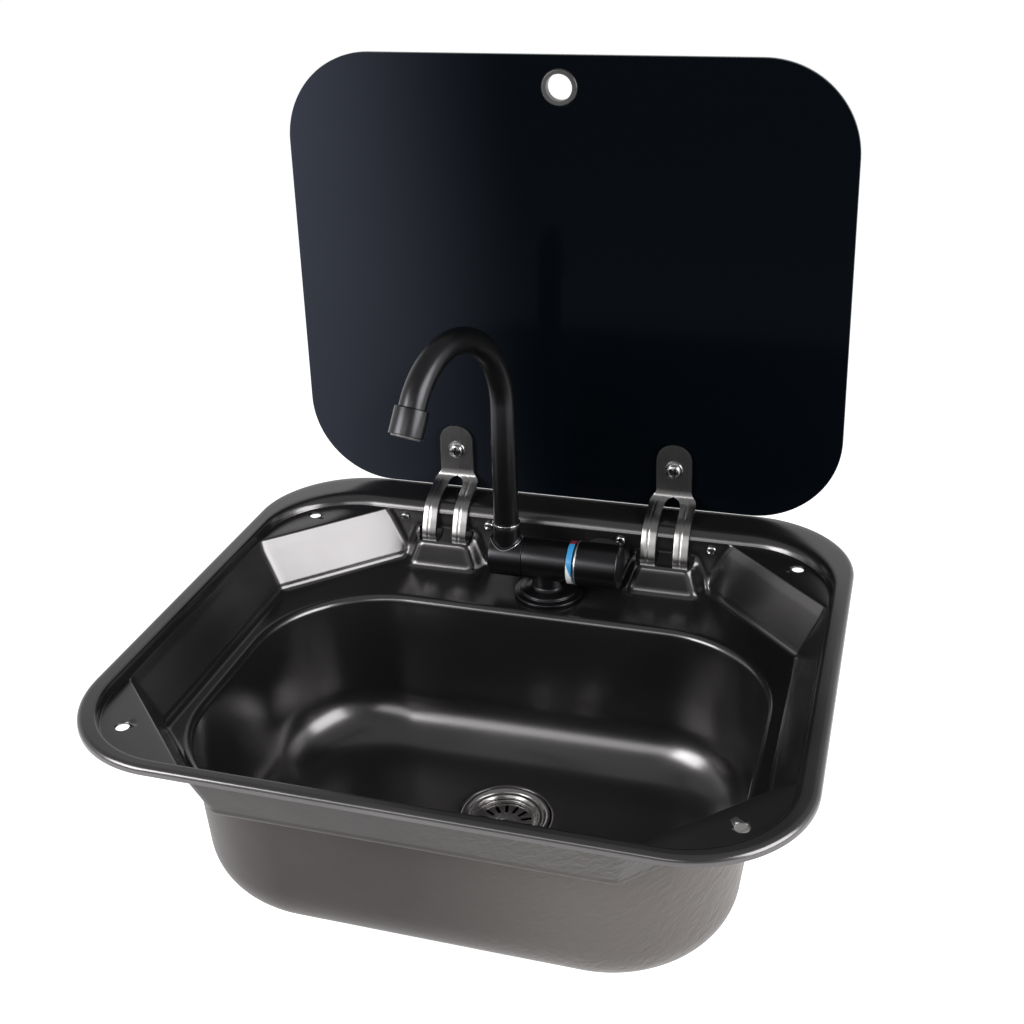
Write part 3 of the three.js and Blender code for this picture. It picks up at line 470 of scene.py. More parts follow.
def groundEdge():
    paint = Paint("groundEdge", ior=1.52)
    grit = paint.noise(1800.0, 2.0)
    paint.give(baseColor=paint.blend(grit.rise(0.3, 0.7), (0.030, 0.038, 0.040), (0.055, 0.066, 0.068)))
    paint.give(roughness=0.3 + (grit - 0.5) * 0.15, normal=paint.bump(grit, 0.2, 0.00005))
    return paint


def softBlack(name, tint, roughness):
    # rubber and moulded plastic
    paint = Paint(name)
    cloud = paint.noise(80.0, 3.0)
    skin = paint.noise(1500.0, 3.0, 0.6)
    paint.give(baseColor=paint.tinted(cloud.rise(0.3, 0.7), tint, 0.8, 1.2))
    paint.give(roughness=roughness + (cloud - 0.5) * 0.1, normal=paint.bump(skin, 0.3, 0.0001))
    return paint


def castBrass():
    paint = Paint("brass", metallic=1.0)
    cloud = paint.noise(90.0, 4.0)
    lines = paint.noise(1.0, 2.0, 0.6, paint.stretched((300.0, 300.0, 4000.0)))
    paint.give(baseColor=paint.blend(cloud.rise(0.35, 0.7), (0.52, 0.36, 0.15), (0.62, 0.46, 0.22)))
    paint.give(roughness=0.3 + cloud * 0.15, normal=paint.bump(lines, 0.3, 0.00006))
    return paint


# angles in radians round the barrel: 0 faces the user and half of pi faces up
ringZones = {"blueFrom": 3.09, "redFrom": 1.47, "slant": 174.0, "edge": 0.04}


def temperatureRing(centre):
    # white ring with a red zone on top and a blue one in front that ends on a slant
    paint = Paint("temperatureRing", coatWeight=0.4, coatRoughness=0.1)
    x, y, z = paint.axes()
    ahead = centre[1] - y
    above = z - centre[2]
    angle = above.maths("ARCTAN2", above, ahead)
    zones = ringZones
    slanted = angle + (x - centre[0]) * zones["slant"]
    blue = slanted.rise(zones["blueFrom"], zones["blueFrom"] + zones["edge"])
    red = angle.rise(zones["redFrom"], zones["redFrom"] + zones["edge"])
    speck = paint.noise(900.0, 2.0)
    white = paint.blend(speck, (0.74, 0.76, 0.78), (0.82, 0.84, 0.86))
    cold = paint.blend(blue, white, (0.035, 0.27, 0.56))
    paint.give(baseColor=paint.blend(red, cold, (0.20, 0.025, 0.035)), roughness=0.34 + (speck - 0.5) * 0.1)
    return paint


inside = satinSteel("satinBlackSteel", (0.118, 0.114, 0.116), 0.93, 0.22, 0.10)
outside = underCoat()
tapBlack = flatBlack("tapBlack", (0.039, 0.039, 0.042), 0.29, 0.93)
chrome = polished("chrome", (0.78, 0.78, 0.80), 0.10)
screwSteel = polished("screwSteel", (0.46, 0.46, 0.46), 0.20)
# painted shade: near black for the faces inside the screws' cross recesses
recessShade = flatBlack("recessShade", (0.016, 0.016, 0.017), 0.5)
trimSteel = polished("trimSteel", (0.86, 0.86, 0.88), 0.34)
strapSteel = brushed("strapSteel", (0.33, 0.323, 0.32), 0.29, (5200.0, 60.0, 60.0), 0.03)
bracketSteel = brushed("bracketSteel", (0.05, 0.05, 0.052), 0.40, (90.0, 90.0, 2200.0), 0.4)
glassFace = darkGlass()
glassEdge = groundEdge()
ringPlastic = softBlack("ringPlastic", (0.022, 0.022, 0.023), 0.32)
rubber = softBlack("rubber", (0.016, 0.016, 0.016), 0.72)
wastePlastic = softBlack("wastePlastic", (0.020, 0.020, 0.021), 0.5)
nozzlePlastic = softBlack("nozzlePlastic", (0.11, 0.11, 0.115), 0.4)
brassMetal = castBrass()
print("sink: finishes made")


viewpoint = {
    "azimuth": 17.58,
    "elevation": 22.02,
    "roll": -2.0,
    "distance": 832.05,
    "target": (8.16, 0.0, 158.04),
    "focalPixels": 1444.28,
    "centrePixel": (496.72, 394.77),
    "frame": 1024,
    "sensor": 36,
}


def makeCamera():
    v = viewpoint
    az, el, roll = (math.radians(v[k]) for k in ("azimuth", "elevation", "roll"))
    back = Vector((math.sin(az) * math.cos(el), -math.cos(az) * math.cos(el), math.sin(el)))
    right = Vector((math.cos(az), math.sin(az), 0.0))
    up = back.cross(right)
    side = right * math.cos(roll) + up * math.sin(roll)
    top = up * math.cos(roll) - right * math.sin(roll)
    spot = (Vector(v["target"]) + back * v["distance"]) * mm
    lens = bpy.data.cameras.new("camera")
    camera = bpy.data.objects.new("camera", lens)
    scene.collection.objects.link(camera)
    camera.matrix_world = Matrix((
        (side.x, top.x, back.x, spot.x),
        (side.y, top.y, back.y, spot.y),
        (side.z, top.z, back.z, spot.z),
        (0, 0, 0, 1)))
    lens.sensor_width = v["sensor"]
    lens.lens = v["focalPixels"] / v["frame"] * v["sensor"]
    lens.shift_x = (v["frame"] / 2 - v["centrePixel"][0]) / v["frame"]
    lens.shift_y = -(v["frame"] / 2 - v["centrePixel"][1]) / v["frame"]
    lens.clip_start = 0.01
    lens.clip_end = 20
    scene.camera = camera


# each lamp's azimuth and elevation in degrees, its size in metres and what a mirror would show;
# azimuth 0 is in front of the sink and 90 on its right
lamps = {
    "keyRight": (76, 23, (0.92, 0.85), 6.3),
    "fillLeft": (-47, 26, (0.66, 0.60), 8.8),
    "frontStrip": (-15, 31, (1.2, 0.36), 2.4),
}
lampDistance = 1.3
studio = {"level": 0.30, "overhead": 0.32, "front": 0.5, "floor": 0.86, "glow": 0.75, "floorHalf": 30.0}


def softbox(name, azimuth, elevation, size, radiance):
    az, el = math.radians(azimuth), math.radians(elevation)
    out, up = lampDistance * math.cos(el), lampDistance * math.sin(el)
    place = Vector((out * math.sin(az), -out * math.cos(az), up))
    data = bpy.data.lights.new(name, "AREA")
    data.shape = "RECTANGLE"
    data.size, data.size_y = size
    data.energy = radiance * size[0] * size[1] * math.pi
    data.spread = math.pi
    lamp = bpy.data.objects.new(name, data)
    scene.collection.objects.link(lamp)
    lamp.location = place
    lamp.rotation_euler = (-place).to_track_quat("-Z", "Y").to_euler()


def makeWorld():
    # the world lights the object at one level; what looks straight at it sees white,
    # and what mirrors it sees white at the sides and back, a dimmer ceiling and a dim front
    s = studio
    world = bpy.data.worlds.new("studio")
    scene.world = world
    paint = Paint.forWorld(world)
    white = (1.0, 1.0, 1.0, 1.0)
    camera, glossy, through = paint.rays()
    depth, height = paint.axes()[1:]
    front = (depth * -1.0).rise(0.35, 0.85)
    mirrored = (1.0 - height.rise(0.28, 0.66) * (1.0 - s["overhead"])) * (1.0 - front * s["front"])
    light = paint.node("ShaderNodeBackground", None, {"Color": white, "Strength": s["level"]})
    shown = paint.node("ShaderNodeBackground", None, {"Color": white, "Strength": 1.0})
    seen = paint.node("ShaderNodeBackground", None, {"Color": white, "Strength": mirrored})
    first = paint.node("ShaderNodeMixShader", None, {0: glossy, 1: light, 2: seen})
    whole = paint.node("ShaderNodeMixShader", None, {0: camera.most(through), 1: first, 2: shown})
    paint.node("ShaderNodeOutputWorld", None, {0: whole})


def makeFloor():
    # pale floor: the glow is only for what looks at it, so the object's shadow stays
    level, half = studio["floor"], studio["floorHalf"]
    low = cadLow.z - 0.0005
    corners = [(-half, -half, low), (half, -half, low), (half, half, low), (-half, half, low)]
    floor = meshObject("floor", corners, [(0, 1, 2, 3)])
    paint = Paint("paleFloor", roughness=0.9, specularIorLevel=0.0, baseColor=(level, level, level))
    camera, glossy, through = paint.rays()
    look = camera.most(glossy).most(through)
    plain = Wire(paint, paint.shader.outputs[0])
    bright = paint.node("ShaderNodeEmission", None, {"Color": (1, 1, 1, 1), "Strength": studio["glow"]})
    both = paint.node("ShaderNodeAddShader", None, {0: plain, 1: bright})
    mixed = paint.node("ShaderNodeMixShader", None, {0: look, 1: plain, 2: both})
    out = next(n for n in paint.tree.nodes if n.type == "OUTPUT_MATERIAL")
    paint.tree.links.new(mixed.socket, out.inputs["Surface"])
    floor.data.materials.append(paint.material)


makeCamera()
makeWorld()
makeFloor()
for lampName, values in lamps.items():
    softbox(lampName, *values)
print("sink: camera and lamps set")


# The steel pressing. Columns run down the skin from the rim to the drain and rings run
# round it. The numbers are the ones that the steel is pressed to, in millimetres.
pressing = {
    "sheet": 1.0,
    "rimHalf": 210, "rimDepth": 185, "rimRadius": 71.5, "rimTop": 4.5, "rimEdge": 3,
    "flange": {"half": 199, "front": -177.5, "rear": 159, "radius": 62},
    "pad": {"radius": 60, "z": -2.2},
    "ledge": {"half": 196, "front": -174.5, "rear": 149.2, "rearSum": 275.5, "frontSum": 295.5, "z": -2.2},
    "bend": {"half": 193.5, "front": -172, "rear": 149.1, "rearSum": 271, "frontSum": 291.5, "z": -9},
    "foot": {"half": 182, "front": -162, "rear": 147.8, "rearSum": 257, "frontSum": 276, "z": -33.5},
    "deck": -39.0, "rearFillet": 10, "sideRun": 2, "footHalf": 5.5, "footRear": 3, "facetFillet": 9,
    "bowl": {"half": 167.7, "front": -140.3, "rear": 87.5, "radius": 77},
    "mouth": 5, "draft": math.radians(3.7), "floor": -142.4, "floorFillet": 37,
    "drain": (2, 5), "seatRadius": 31, "seat": -143.4, "cupRadius": 29.6, "cup": -146, "hole": 21,
    "clipHoles": ((173.3, 125.2), (-173.3, 125.2), (174.1, -145.2), (-174.1, -145.2)), "clipHole": 4,
}
hingeX = 80.5
hoodShape = {
    "topFront": (137, -20), "topRear": (149.6, -16), "topHalf": (18.5, 24.5),
    "footFront": 131.5, "footHalf": (25, 32.5), "edge": 2.6, "foot": 5.0, "wall": 149.6,
    "mouthInset": (0.4, 2.2), "mouthReach": (1.5, 3.0), "mouthCorner": (2.4, 0.4),
}
cornerSteps = {"bend": 8, "facet": 46}
sideSteps = {"right": 34, "rear": 216, "left": 34, "front": 44}
# the rear side is finer where the hoods' cheeks stand
cheekSteps = {"places": (54, 107), "width": 7, "weight": 1.6, "least": 0.55, "half": 118, "samples": 4001}
# where the wall and the deck may bulge into a hood, and how far at most
hoodReach = {"rear": 112, "low": -45, "high": -3, "inner": 30, "outer": 128, "most": 26.0, "halvings": 26}


def alongSide(count, dense):
    # fractions from 0 to 1
    if not dense:
        return [(i + 1) / (count + 1) for i in range(count)]
    c = cheekSteps
    grid = np.linspace(-1, 1, c["samples"])
    away = [(np.abs(grid) * c["half"] - spot) / c["width"] for spot in c["places"]]
    total = np.cumsum(c["least"] + sum(c["weight"] * np.exp(-distance ** 2) for distance in away))
    total = (total - total[0]) / (total[-1] - total[0])
    return [float((np.interp((i + 1) / (count + 1), total, grid) + 1) / 2) for i in range(count)]


def cornerPoints(ring, atRear):
    # one corner, from the side (x = half) to the end (y = depth), as (x, y) in the first quadrant
    bends, facet = cornerSteps["bend"], cornerSteps["facet"]
    count = 2 * bends + facet
    depth = ring["rear"] if atRear else -ring["front"]
    half = ring["half"]
    if "radius" in ring:
        radius = ring["radius"]
        turns = [math.pi / 2 * i / count for i in range(count + 1)]
        return [(half - radius + radius * math.cos(t), depth - radius + radius * math.sin(t)) for t in turns]
    total = ring["rearSum"] if atRear else ring["frontSum"]
    reach = pressing["facetFillet"] * math.tan(math.pi / 8)
    onSide, onEnd = Vector((half, total - half)), Vector((total - depth, depth))
    along = (onEnd - onSide).normalized()

    def fillet(corner, before, after):
        first, last = corner + before * reach, corner + after * reach
        return [tuple(eased(first, corner, last, i / bends)) for i in range(bends + 1)]

    path = fillet(onSide, Vector((0, -1)), along)
    first, last = Vector(path[-1]), onEnd - along * reach
    for i in range(1, facet):
        t = 1 - (1 - i / facet) ** 1.35 if atRear else i / facet
        path.append(tuple(first.lerp(last, t)))
    return path + fillet(onEnd, -along, Vector((-1, 0)))


def ringAt(ring, z):
    # the corners and sides in turn, from the right front corner through the right rear one
    quarters = []
    for sx, sy in ((1, -1), (1, 1), (-1, 1), (-1, -1)):
        path = [(sx * x, sy * y) for x, y in cornerPoints(ring, sy > 0)]
        quarters.append(path if sx * sy > 0 else path[::-1])
    points = []
    for k, side in enumerate(("right", "rear", "left", "front")):
        points += quarters[k]
        start, end = quarters[k][-1], quarters[(k + 1) % 4][0]
        for f in alongSide(sideSteps[side], side == "rear"):
            points.append((start[0] + (end[0] - start[0]) * f, start[1] + (end[1] - start[1]) * f))
    flat = np.array(points)
    return np.column_stack([flat, np.full(len(flat), z)])


def drainRing(radius, z, columns):
    # each column heads straight for the drain, evenly spaced round it
    x, y = pressing["drain"]
    count = len(columns)
    bearing = np.unwrap(np.arctan2(columns[:, 1] - y, columns[:, 0] - x))
    even = bearing[0] + np.arange(count) / count * 2 * math.pi
    bearing = bearing * 0.75 + even * 0.25
    return np.column_stack([x + radius * np.cos(bearing), y + radius * np.sin(bearing), np.full(count, z)])


def inset(ring, amount, radiusShare=1.0):
    out = dict(ring)
    out["half"] -= amount
    out["front"] += amount
    out["rear"] -= amount
    if "radius" in out:
        out["radius"] -= amount * radiusShare
    return out


def rimKeys():
    # the rolled edge, then the flange that falls to the pad
    p, flange = pressing, pressing["flange"]
    outer = {"half": p["rimHalf"], "front": -p["rimDepth"], "rear": p["rimDepth"], "radius": p["rimRadius"]}
    keys = [(ringAt(outer, 0.0), 0, 2)]
    for degrees in (0, 15, 30, 45, 60, 75, 90):
        t = math.radians(degrees)
        ring = inset(outer, p["rimEdge"] * (1 - math.cos(t)))
        keys.append((ringAt(ring, p["rimTop"] - p["rimEdge"] * (1 - math.sin(t))), 0, 1))
    keys[-1] = (keys[-1][0], 0, 5)
    for part in (0, 0.12, 0.25, 0.38, 0.5, 0.62, 0.75, 0.88, 1):
        fall = 1 - math.cos(part * math.pi / 2)
        z = p["rimTop"] - (p["rimTop"] - p["pad"]["z"]) * fall
        drop = p["rearFillet"] - (p["rimTop"] - z)
        run = p["sideRun"] * math.sin(part * math.pi / 2)
        ring = {
            "half": flange["half"] - run, "front": flange["front"] + run,
            "rear": flange["rear"] - math.sqrt(p["rearFillet"] ** 2 - drop ** 2),
            "radius": flange["radius"] + (p["pad"]["radius"] - flange["radius"]) * part,
        }
        keys.append((ringAt(ring, z), 1.6 if part == 1 else 0, 4 if part == 1 else 1))
    return keys


def wallKeys():
    # the faceted wall from the ledge down to the deck
    p, foot = pressing, pressing["foot"]
    keys = [(ringAt(p["ledge"], p["ledge"]["z"]), 1.5, 4), (ringAt(p["bend"], p["bend"]["z"]), 1.3, 22)]
    for degrees in (0, 15, 30, 45, 60, 75, 90):
        t = math.radians(degrees)
        run = p["footHalf"] * (1 - math.cos(t))
        ring = inset(foot, run)
        ring["rear"] = foot["rear"] - p["footRear"] * (1 - math.cos(t))
        ring["rearSum"] = foot["rearSum"] - run * 1.2
        ring["frontSum"] = foot["frontSum"] - run * 1.2
        keys.append((ringAt(ring, foot["z"] + (p["deck"] - foot["z"]) * math.sin(t)), 0, 1))
    keys[-1] = (keys[-1][0], 0, 30)
    return keys


def bowlKeys():
    # the bowl's mouth, its wall with the floor's fillet, and the cup of the drain
    p = pressing
    keys = []
    for degrees in (90, 78, 66, 54, 42, 30, 15, 0):
        t = math.radians(degrees)
        ring = inset(p["bowl"], -p["mouth"] * (1 - math.cos(t)), 0.7)
        keys.append((ringAt(ring, p["deck"] - p["mouth"] * (1 - math.sin(t))), 0, 1))
    keys[-1] = (keys[-1][0], 0, 10)
    centre = p["floor"] + p["floorFillet"]
    lean = math.tan(p["draft"]) * (p["deck"] - p["mouth"] - centre)
    middle = p["floorFillet"] / math.cos(p["draft"]) + lean
    for i in range(19):
        t = p["draft"] + (math.pi / 2 - p["draft"]) * i / 18
        ring = inset(p["bowl"], middle - p["floorFillet"] * math.cos(t), 0.7)
        keys.append((ringAt(ring, centre - p["floorFillet"] * math.sin(t)), 0, 1))
    last = keys[-1][0]
    keys[-1] = (last, 0, 12)
    keys.append((drainRing(p["seatRadius"], p["seat"], last), 1.6, 2))
    keys.append((drainRing(p["cupRadius"], p["cup"] + 0.3, last), 0.4, 1))
    keys.append((drainRing(p["cupRadius"] - 1, p["cup"], last), 0, 3))
    keys.append((drainRing(p["hole"], p["cup"], last), 0, 0))
    return keys


def towards(ring, other, reach):
    # the ring moved a little way to another one
    way = other - ring
    length = np.linalg.norm(way, axis=1, keepdims=True)
    return ring + way / length * np.minimum(reach, length * 0.45)


def skinRows():
    # each key is (ring, rounding reach, spans to the next ring): corners are rounded here
    # and the spans between the rings filled
    keys = rimKeys() + wallKeys() + bowlKeys()
    rows = []
    for k, (ring, reach, spans) in enumerate(keys):
        if reach:
            first, last = (towards(ring, keys[j][0], reach) for j in (k - 1, k + 1))
            rows += [eased(first, ring, last, i / 5) for i in range(6)]
        else:
            rows.append(ring)
        if spans > 1:
            start = rows[-1]
            end, nextReach = keys[k + 1][0], keys[k + 1][1]
            if nextReach:
                end = towards(end, ring, nextReach)
            rows += [start + (end - start) * (i / spans) for i in range(1, spans)]
    return np.array(rows)


def smoothLeast(a, b, width):
    h = np.maximum(width - np.abs(a - b), 0) / width
    return np.minimum(a, b) - h * h * width / 4


def hoodDistance(points, x):
    # how far points stand outside one hood, from its top, its front and its two cheeks
    h = hoodShape
    local = points - np.array([x, 0, 0])

    def plane(a, b, c):
        normal = np.cross(np.subtract(b, a), np.subtract(c, a))
        normal = normal / np.linalg.norm(normal)
        return local @ normal - np.dot(normal, a)

    front, rear, deck = h["topFront"], h["topRear"], pressing["deck"]
    top = plane((-1, *front), (1, *front), (0, *rear))
    face = plane((-1, h["footFront"], deck), (1, h["footFront"], deck), (0, *front))
    outside = -smoothLeast(-top, -face, h["edge"])
    for sign in (-1, 1):
        a = (sign * h["footHalf"][0], h["footFront"], deck)
        b = (sign * h["footHalf"][1], h["wall"], deck)
        c = (sign * h["topHalf"][0], *front)
        cheek = plane(a, b, c) if sign > 0 else plane(b, a, c)
        outside = -smoothLeast(-outside, -cheek, h["edge"] * 1.6)
    return outside


def raiseHoods(rows):
    # the wall and the deck bulge along the diagonal between them until they meet the hood
    h = hoodReach
    diagonal = np.array([0, -1, 1]) / math.sqrt(2)
    flat = rows.reshape(-1, 3).copy()
    x, y, z = flat.T
    near = (y > h["rear"]) & (z > h["low"]) & (z < h["high"])
    near &= (np.abs(x) < h["outer"]) & (np.abs(x) > h["inner"])
    for centre in (-hingeX, hingeX):
        pick = np.where(near & (np.sign(x) == np.sign(centre)))[0]
        base = flat[pick]
        low, high = np.zeros(len(pick)), np.full(len(pick), h["most"])
        for _ in range(h["halvings"]):
            middle = (low + high) / 2
            spot = base + middle[:, None] * diagonal
            solid = smoothLeast(middle * 0.707, hoodDistance(spot, centre), hoodShape["foot"])
            low = np.where(solid < 0, middle, low)
            high = np.where(solid < 0, high, middle)
        rest = np.where(high < 0.02, 0, high)
        flat[pick] = base + rest[:, None] * diagonal
    return flat.reshape(rows.shape)


def skinNormals(rows):
    along = np.roll(rows, -1, axis=1) - np.roll(rows, 1, axis=1)
    down = np.empty_like(rows)
    down[1:-1] = rows[2:] - rows[:-2]
    down[0] = rows[1] - rows[0]
    down[-1] = rows[-1] - rows[-2]
    normal = np.cross(along, down)
    return normal / np.maximum(np.linalg.norm(normal, axis=2, keepdims=True), 1e-9)


def hoodMouth(x):
    # what is cut away above the hood: an open slot with round ends
    h = hoodShape
    front, rear = h["topFront"], h["topRear"]
    slope = (rear[1] - front[1]) / (rear[0] - front[0])
    near, far = front[0] + h["mouthReach"][0], rear[0] + h["mouthReach"][1]
    halfNear, halfFar = (h["topHalf"][k] - h["mouthInset"][k] for k in (0, 1))
    corners = [Vector(c) for c in ((-halfNear, near), (halfNear, near), (halfFar, far), (-halfFar, far))]
    outline = []
    for k, here in enumerate(corners):
        reach = h["mouthCorner"][k // 2]
        first = here + (corners[k - 1] - here).normalized() * reach
        last = here + (corners[(k + 1) % 4] - here).normalized() * reach
        outline += [eased(first, here, last, i / 6) for i in range(7)]
    layers = []
    for lift, highest in ((-1.9, 0.0), (6.0, -13.6)):
        heights = [front[1] + slope * (spot.y - front[0]) + lift for spot in outline]
        layers.append([(x + spot.x, spot.y, min(z, highest)) for spot, z in zip(outline, heights)])
    return stack("mouth", layers)


def makeBasin():
    p = pressing
    rows = raiseHoods(skinRows())
    back = rows - skinNormals(rows) * p["sheet"]
    skin = np.concatenate([rows, back[::-1]]) * mm
    points, faces = ringSkin([list(map(tuple, ring)) for ring in skin], closedAlong=True)
    basin = meshObject("basinPressing", points, faces, 50)
    bands, count = rows.shape[:2]
    basin.data.materials.append(inside.material)
    basin.data.materials.append(outside.material)
    for polygon in basin.data.polygons:
        polygon.material_index = int(bands * count <= polygon.index)
    print("sink: pressing has", len(faces), "faces in", bands, "rows of", count)
    tools = [hoodMouth(x) for x in (-hingeX, hingeX)]
    tools += [moved(drill(p["clipHole"], -9, 4, 40), at(x, y, 0)) for x, y in p["clipHoles"]]
    for tool in tools:
        cut(basin, tool, solver="MANIFOLD")
    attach(basin, "sink")
    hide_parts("basin")


makeBasin()


# the glass lid as it stands open, with x across and z up
lidSizes = {
    "width": 389, "low": 5.2, "high": 322.5, "radius": 62, "steps": 28, "front": 181, "back": 185,
    "edge": 0.7, "screw": 36.4, "screwHole": 2.8,
    "hole": (0.8, 301.6), "holeRadius": 11.2, "ringRadius": 12.4, "bore": 8.9, "lip": 1.4,
}


def roundedOutline(x0, x1, z0, z1, radius):
    points = []
    steps = lidSizes["steps"]
    for cx, cz, start in ((x1 - radius, z0 + radius, -90), (x1 - radius, z1 - radius, 0),
                          (x0 + radius, z1 - radius, 90), (x0 + radius, z0 + radius, 180)):
        for i in range(steps + 1):
            t = math.radians(start + 90 * i / steps)
            points.append((cx + radius * math.cos(t), cz + radius * math.sin(t)))
    return points


def makeGlass():
    g = lidSizes
    half, edge, front, back = g["width"] / 2, g["edge"], g["front"], g["back"]
    layers = []
    for out, y in ((-edge, front), (-edge * 0.3, front + edge * 0.3), (0, front + edge),
                   (0, back - edge), (-edge * 0.3, back - edge * 0.3), (-edge, back)):
        ring = roundedOutline(-half - out, half + out, g["low"] - out, g["high"] + out, g["radius"] + out)
        layers.append([(x, y, z) for x, z in ring])
    glass = stack("glassPane", layers, 20)
    screwHoles = [(x, g["screw"], g["screwHole"], 32) for x in (-hingeX, hingeX)]
    for x, z, radius, segments in [(*g["hole"], g["holeRadius"], 64)] + screwHoles:
        tool = drill(radius, front - 11, back + 10, segments)
        cut(glass, moved(tool, at(x, 0, z) @ alongY))
    coat(glass, glassFace)
    glass.data.materials.append(glassEdge.material)
    for polygon in glass.data.polygons:
        polygon.material_index = int(abs(polygon.normal.y) < 0.9)
    tidyMesh(glass, 20)
    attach(glass, "lid")
    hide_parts("glass_lid")


def makeFingerRing():
    g = lidSizes
    r, bore, sleeve = g["ringRadius"], g["bore"], g["holeRadius"] - 0.3
    low, high, lip = g["front"], g["back"], g["lip"]
    profile = [
        (bore, low - lip, 0.5), (r - 0.7, low - lip, 0.9), (r, low - 0.3, 0.2), (sleeve, low - 0.3, 0.1),
        (sleeve, high + 0.3, 0.1), (r, high + 0.3, 0.2), (r - 0.7, high + lip, 0.9), (bore, high + lip, 0.5),
        (bore, low + 1.0, 0), (bore, low - lip)]
    ring = turnedPiece("fingerRing", profile)
    moved(ring, at(g["hole"][0], 0, g["hole"][1]) @ alongY)
    dress(ring, ringPlastic, "ring_plastic", "lid", "finger_ring")


makeGlass()
makeFingerRing()
print("sink: lid made")


# the route runs as (y, z) from the eye at the pivot to where the strap stands flat on the glass
strapSizes = {
    "pivot": (161, -13), "width": 33, "gap": 12.6, "tab": 25, "thickness": 1.8, "eye": 3.8, "pin": 2.2,
    "slotTop": 15.8, "shoulder": 13, "neck": 19.5, "top": 55.2, "front": 178, "straight": 20.5,
    "route": [(161, -18.6), (155.5, -23.6), (148, -25.4), (142.2, -22.4), (140.6, -16), (143.4, -8),
              (146.6, -1.5), (150.4, 3.9), (157.5, 8), (166, 10.6), (172.8, 12.8), (176.8, 16)],
    "rib": 0.5, "ribEnd": 16.5, "ribFade": 6.0, "crest": 0.44, "groove": 0.06, "columns": 18, "stations": 74,
}


def splineThrough(points, count):
    # Catmull-Rom curve through points with even steps along its length
    p = [Vector(q) for q in points]
    p = [p[0] * 2 - p[1]] + p + [p[-1] * 2 - p[-2]]
    fine = []
    for i in range(1, len(p) - 2):
        a, b, c, d = p[i - 1:i + 3]
        bow, twist = 2 * a - 5 * b + 4 * c - d, 3 * b - a - 3 * c + d
        for t in (k / 40 for k in range(40)):
            fine.append(0.5 * (2 * b + (c - a) * t + bow * t * t + twist * t ** 3))
    fine.append(p[-2])
    lengths = [0.0]
    for a, b in zip(fine, fine[1:]):
        lengths.append(lengths[-1] + (b - a).length)
    out = []
    for i in range(count + 1):
        want = lengths[-1] * i / count
        k = max(j for j in range(len(lengths)) if lengths[j] <= want + 1e-9)
        if k >= len(fine) - 1:
            out.append(fine[-1])
        else:
            part = (want - lengths[k]) / max(lengths[k + 1] - lengths[k], 1e-9)
            out.append(fine[k].lerp(fine[k + 1], part))
    return out


def strapStations():
    # (y, z) and the normal down the strap's front face, from the eye to the top of the tab
    s = strapSizes
    line = splineThrough(s["route"] + [(s["front"], s["straight"])], s["stations"])
    middle = s["top"] - s["tab"] / 2
    z = s["straight"]
    while z < middle - 0.5:
        z += 2.0
        line.append(Vector((s["front"], min(z, middle))))
    for i in range(1, 17):
        rise = s["tab"] / 2 * math.sin(math.pi / 2 * i / 16)
        line.append(Vector((s["front"], middle + rise)))
    out = []
    for i, spot in enumerate(line):
        ahead = line[min(i + 1, len(line) - 1)] - line[max(i - 1, 0)]
        ahead.normalize()
        out.append((spot, Vector((-ahead.y, ahead.x))))
    return out


def strapHalfWidth(z):
    s = strapSizes
    wide, tab = s["width"] / 2, s["tab"] / 2
    middle = s["top"] - tab
    if z <= s["shoulder"]:
        return wide
    if z < s["neck"]:
        t = (z - s["shoulder"]) / (s["neck"] - s["shoulder"])
        return wide + (tab - wide) * (t * t * (3 - 2 * t))
    if z <= middle:
        return tab
    return math.sqrt(max(tab * tab - (z - middle) ** 2, 0.0)) + 0.02


def strapHalfGap(z):
    s = strapSizes
    half = s["gap"] / 2
    centre = s["slotTop"] - half
    if z <= centre:
        return half
    if z < s["slotTop"]:
        return math.sqrt(max(half * half - (z - centre) ** 2, 0.0))
    return 0.0


def strapRow(spot, normal):
    # front and back points across both halves at one station; each half has a low roof with a
    # groove along its crest, which flattens out towards the tab
    s = strapSizes
    outer, inner = strapHalfWidth(spot.y), strapHalfGap(spot.y)
    crown = s["rib"] * min(1.0, max(0.0, (s["ribEnd"] - spot.y) / s["ribFade"]))
    crest, columns = s["crest"], s["columns"]
    front, back = [], []
    for sign in (-1, 1):
        places = [outer + (inner - outer) * k / columns for k in range(columns + 1)]
        for x in places[::-sign]:
            share = (sign * x - (inner if sign > 0 else -outer)) / max(outer - inner, 1e-6)
            roof = share / crest if share < crest else (1 - share) / (1 - crest)
            lift = crown * (roof - 0.9 * math.exp(-((share - crest) / s["groove"]) ** 2))
            y, z = spot.x + normal.x * lift, spot.y + normal.y * lift
            front.append((sign * x, y, z))
            back.append((sign * x, y - normal.x * s["thickness"], z - normal.y * s["thickness"]))
    return front, back


def strapFaces(gaps):
    # both sheets, then their edges: the inner ones are closed only where there is a gap
    columns, last = strapSizes["columns"], len(gaps) - 1
    count = 2 * columns + 2
    total = len(gaps) * count
    faces = []
    for r in range(last):
        for c in range(count - 1):
            if c == columns:
                continue
            a, b = r * count + c, r * count + c + 1
            faces.append((a, b, b + count, a + count))
            faces.append((total + a, total + a + count, total + b + count, total + b))
    edges = []
    for left, right in ((0, columns), (columns + 1, count - 1)):
        for r in range(last):
            shown = [c for c in (left, right) if c in (0, count - 1) or gaps[r] + gaps[r + 1] > 0]
            edges += [(r * count + c, (r + 1) * count + c) for c in shown]
        edges += [(r * count + c, r * count + c + 1) for r in (0, last) for c in range(left, right)]
    return faces + [(a, b, total + b, total + a) for a, b in edges]


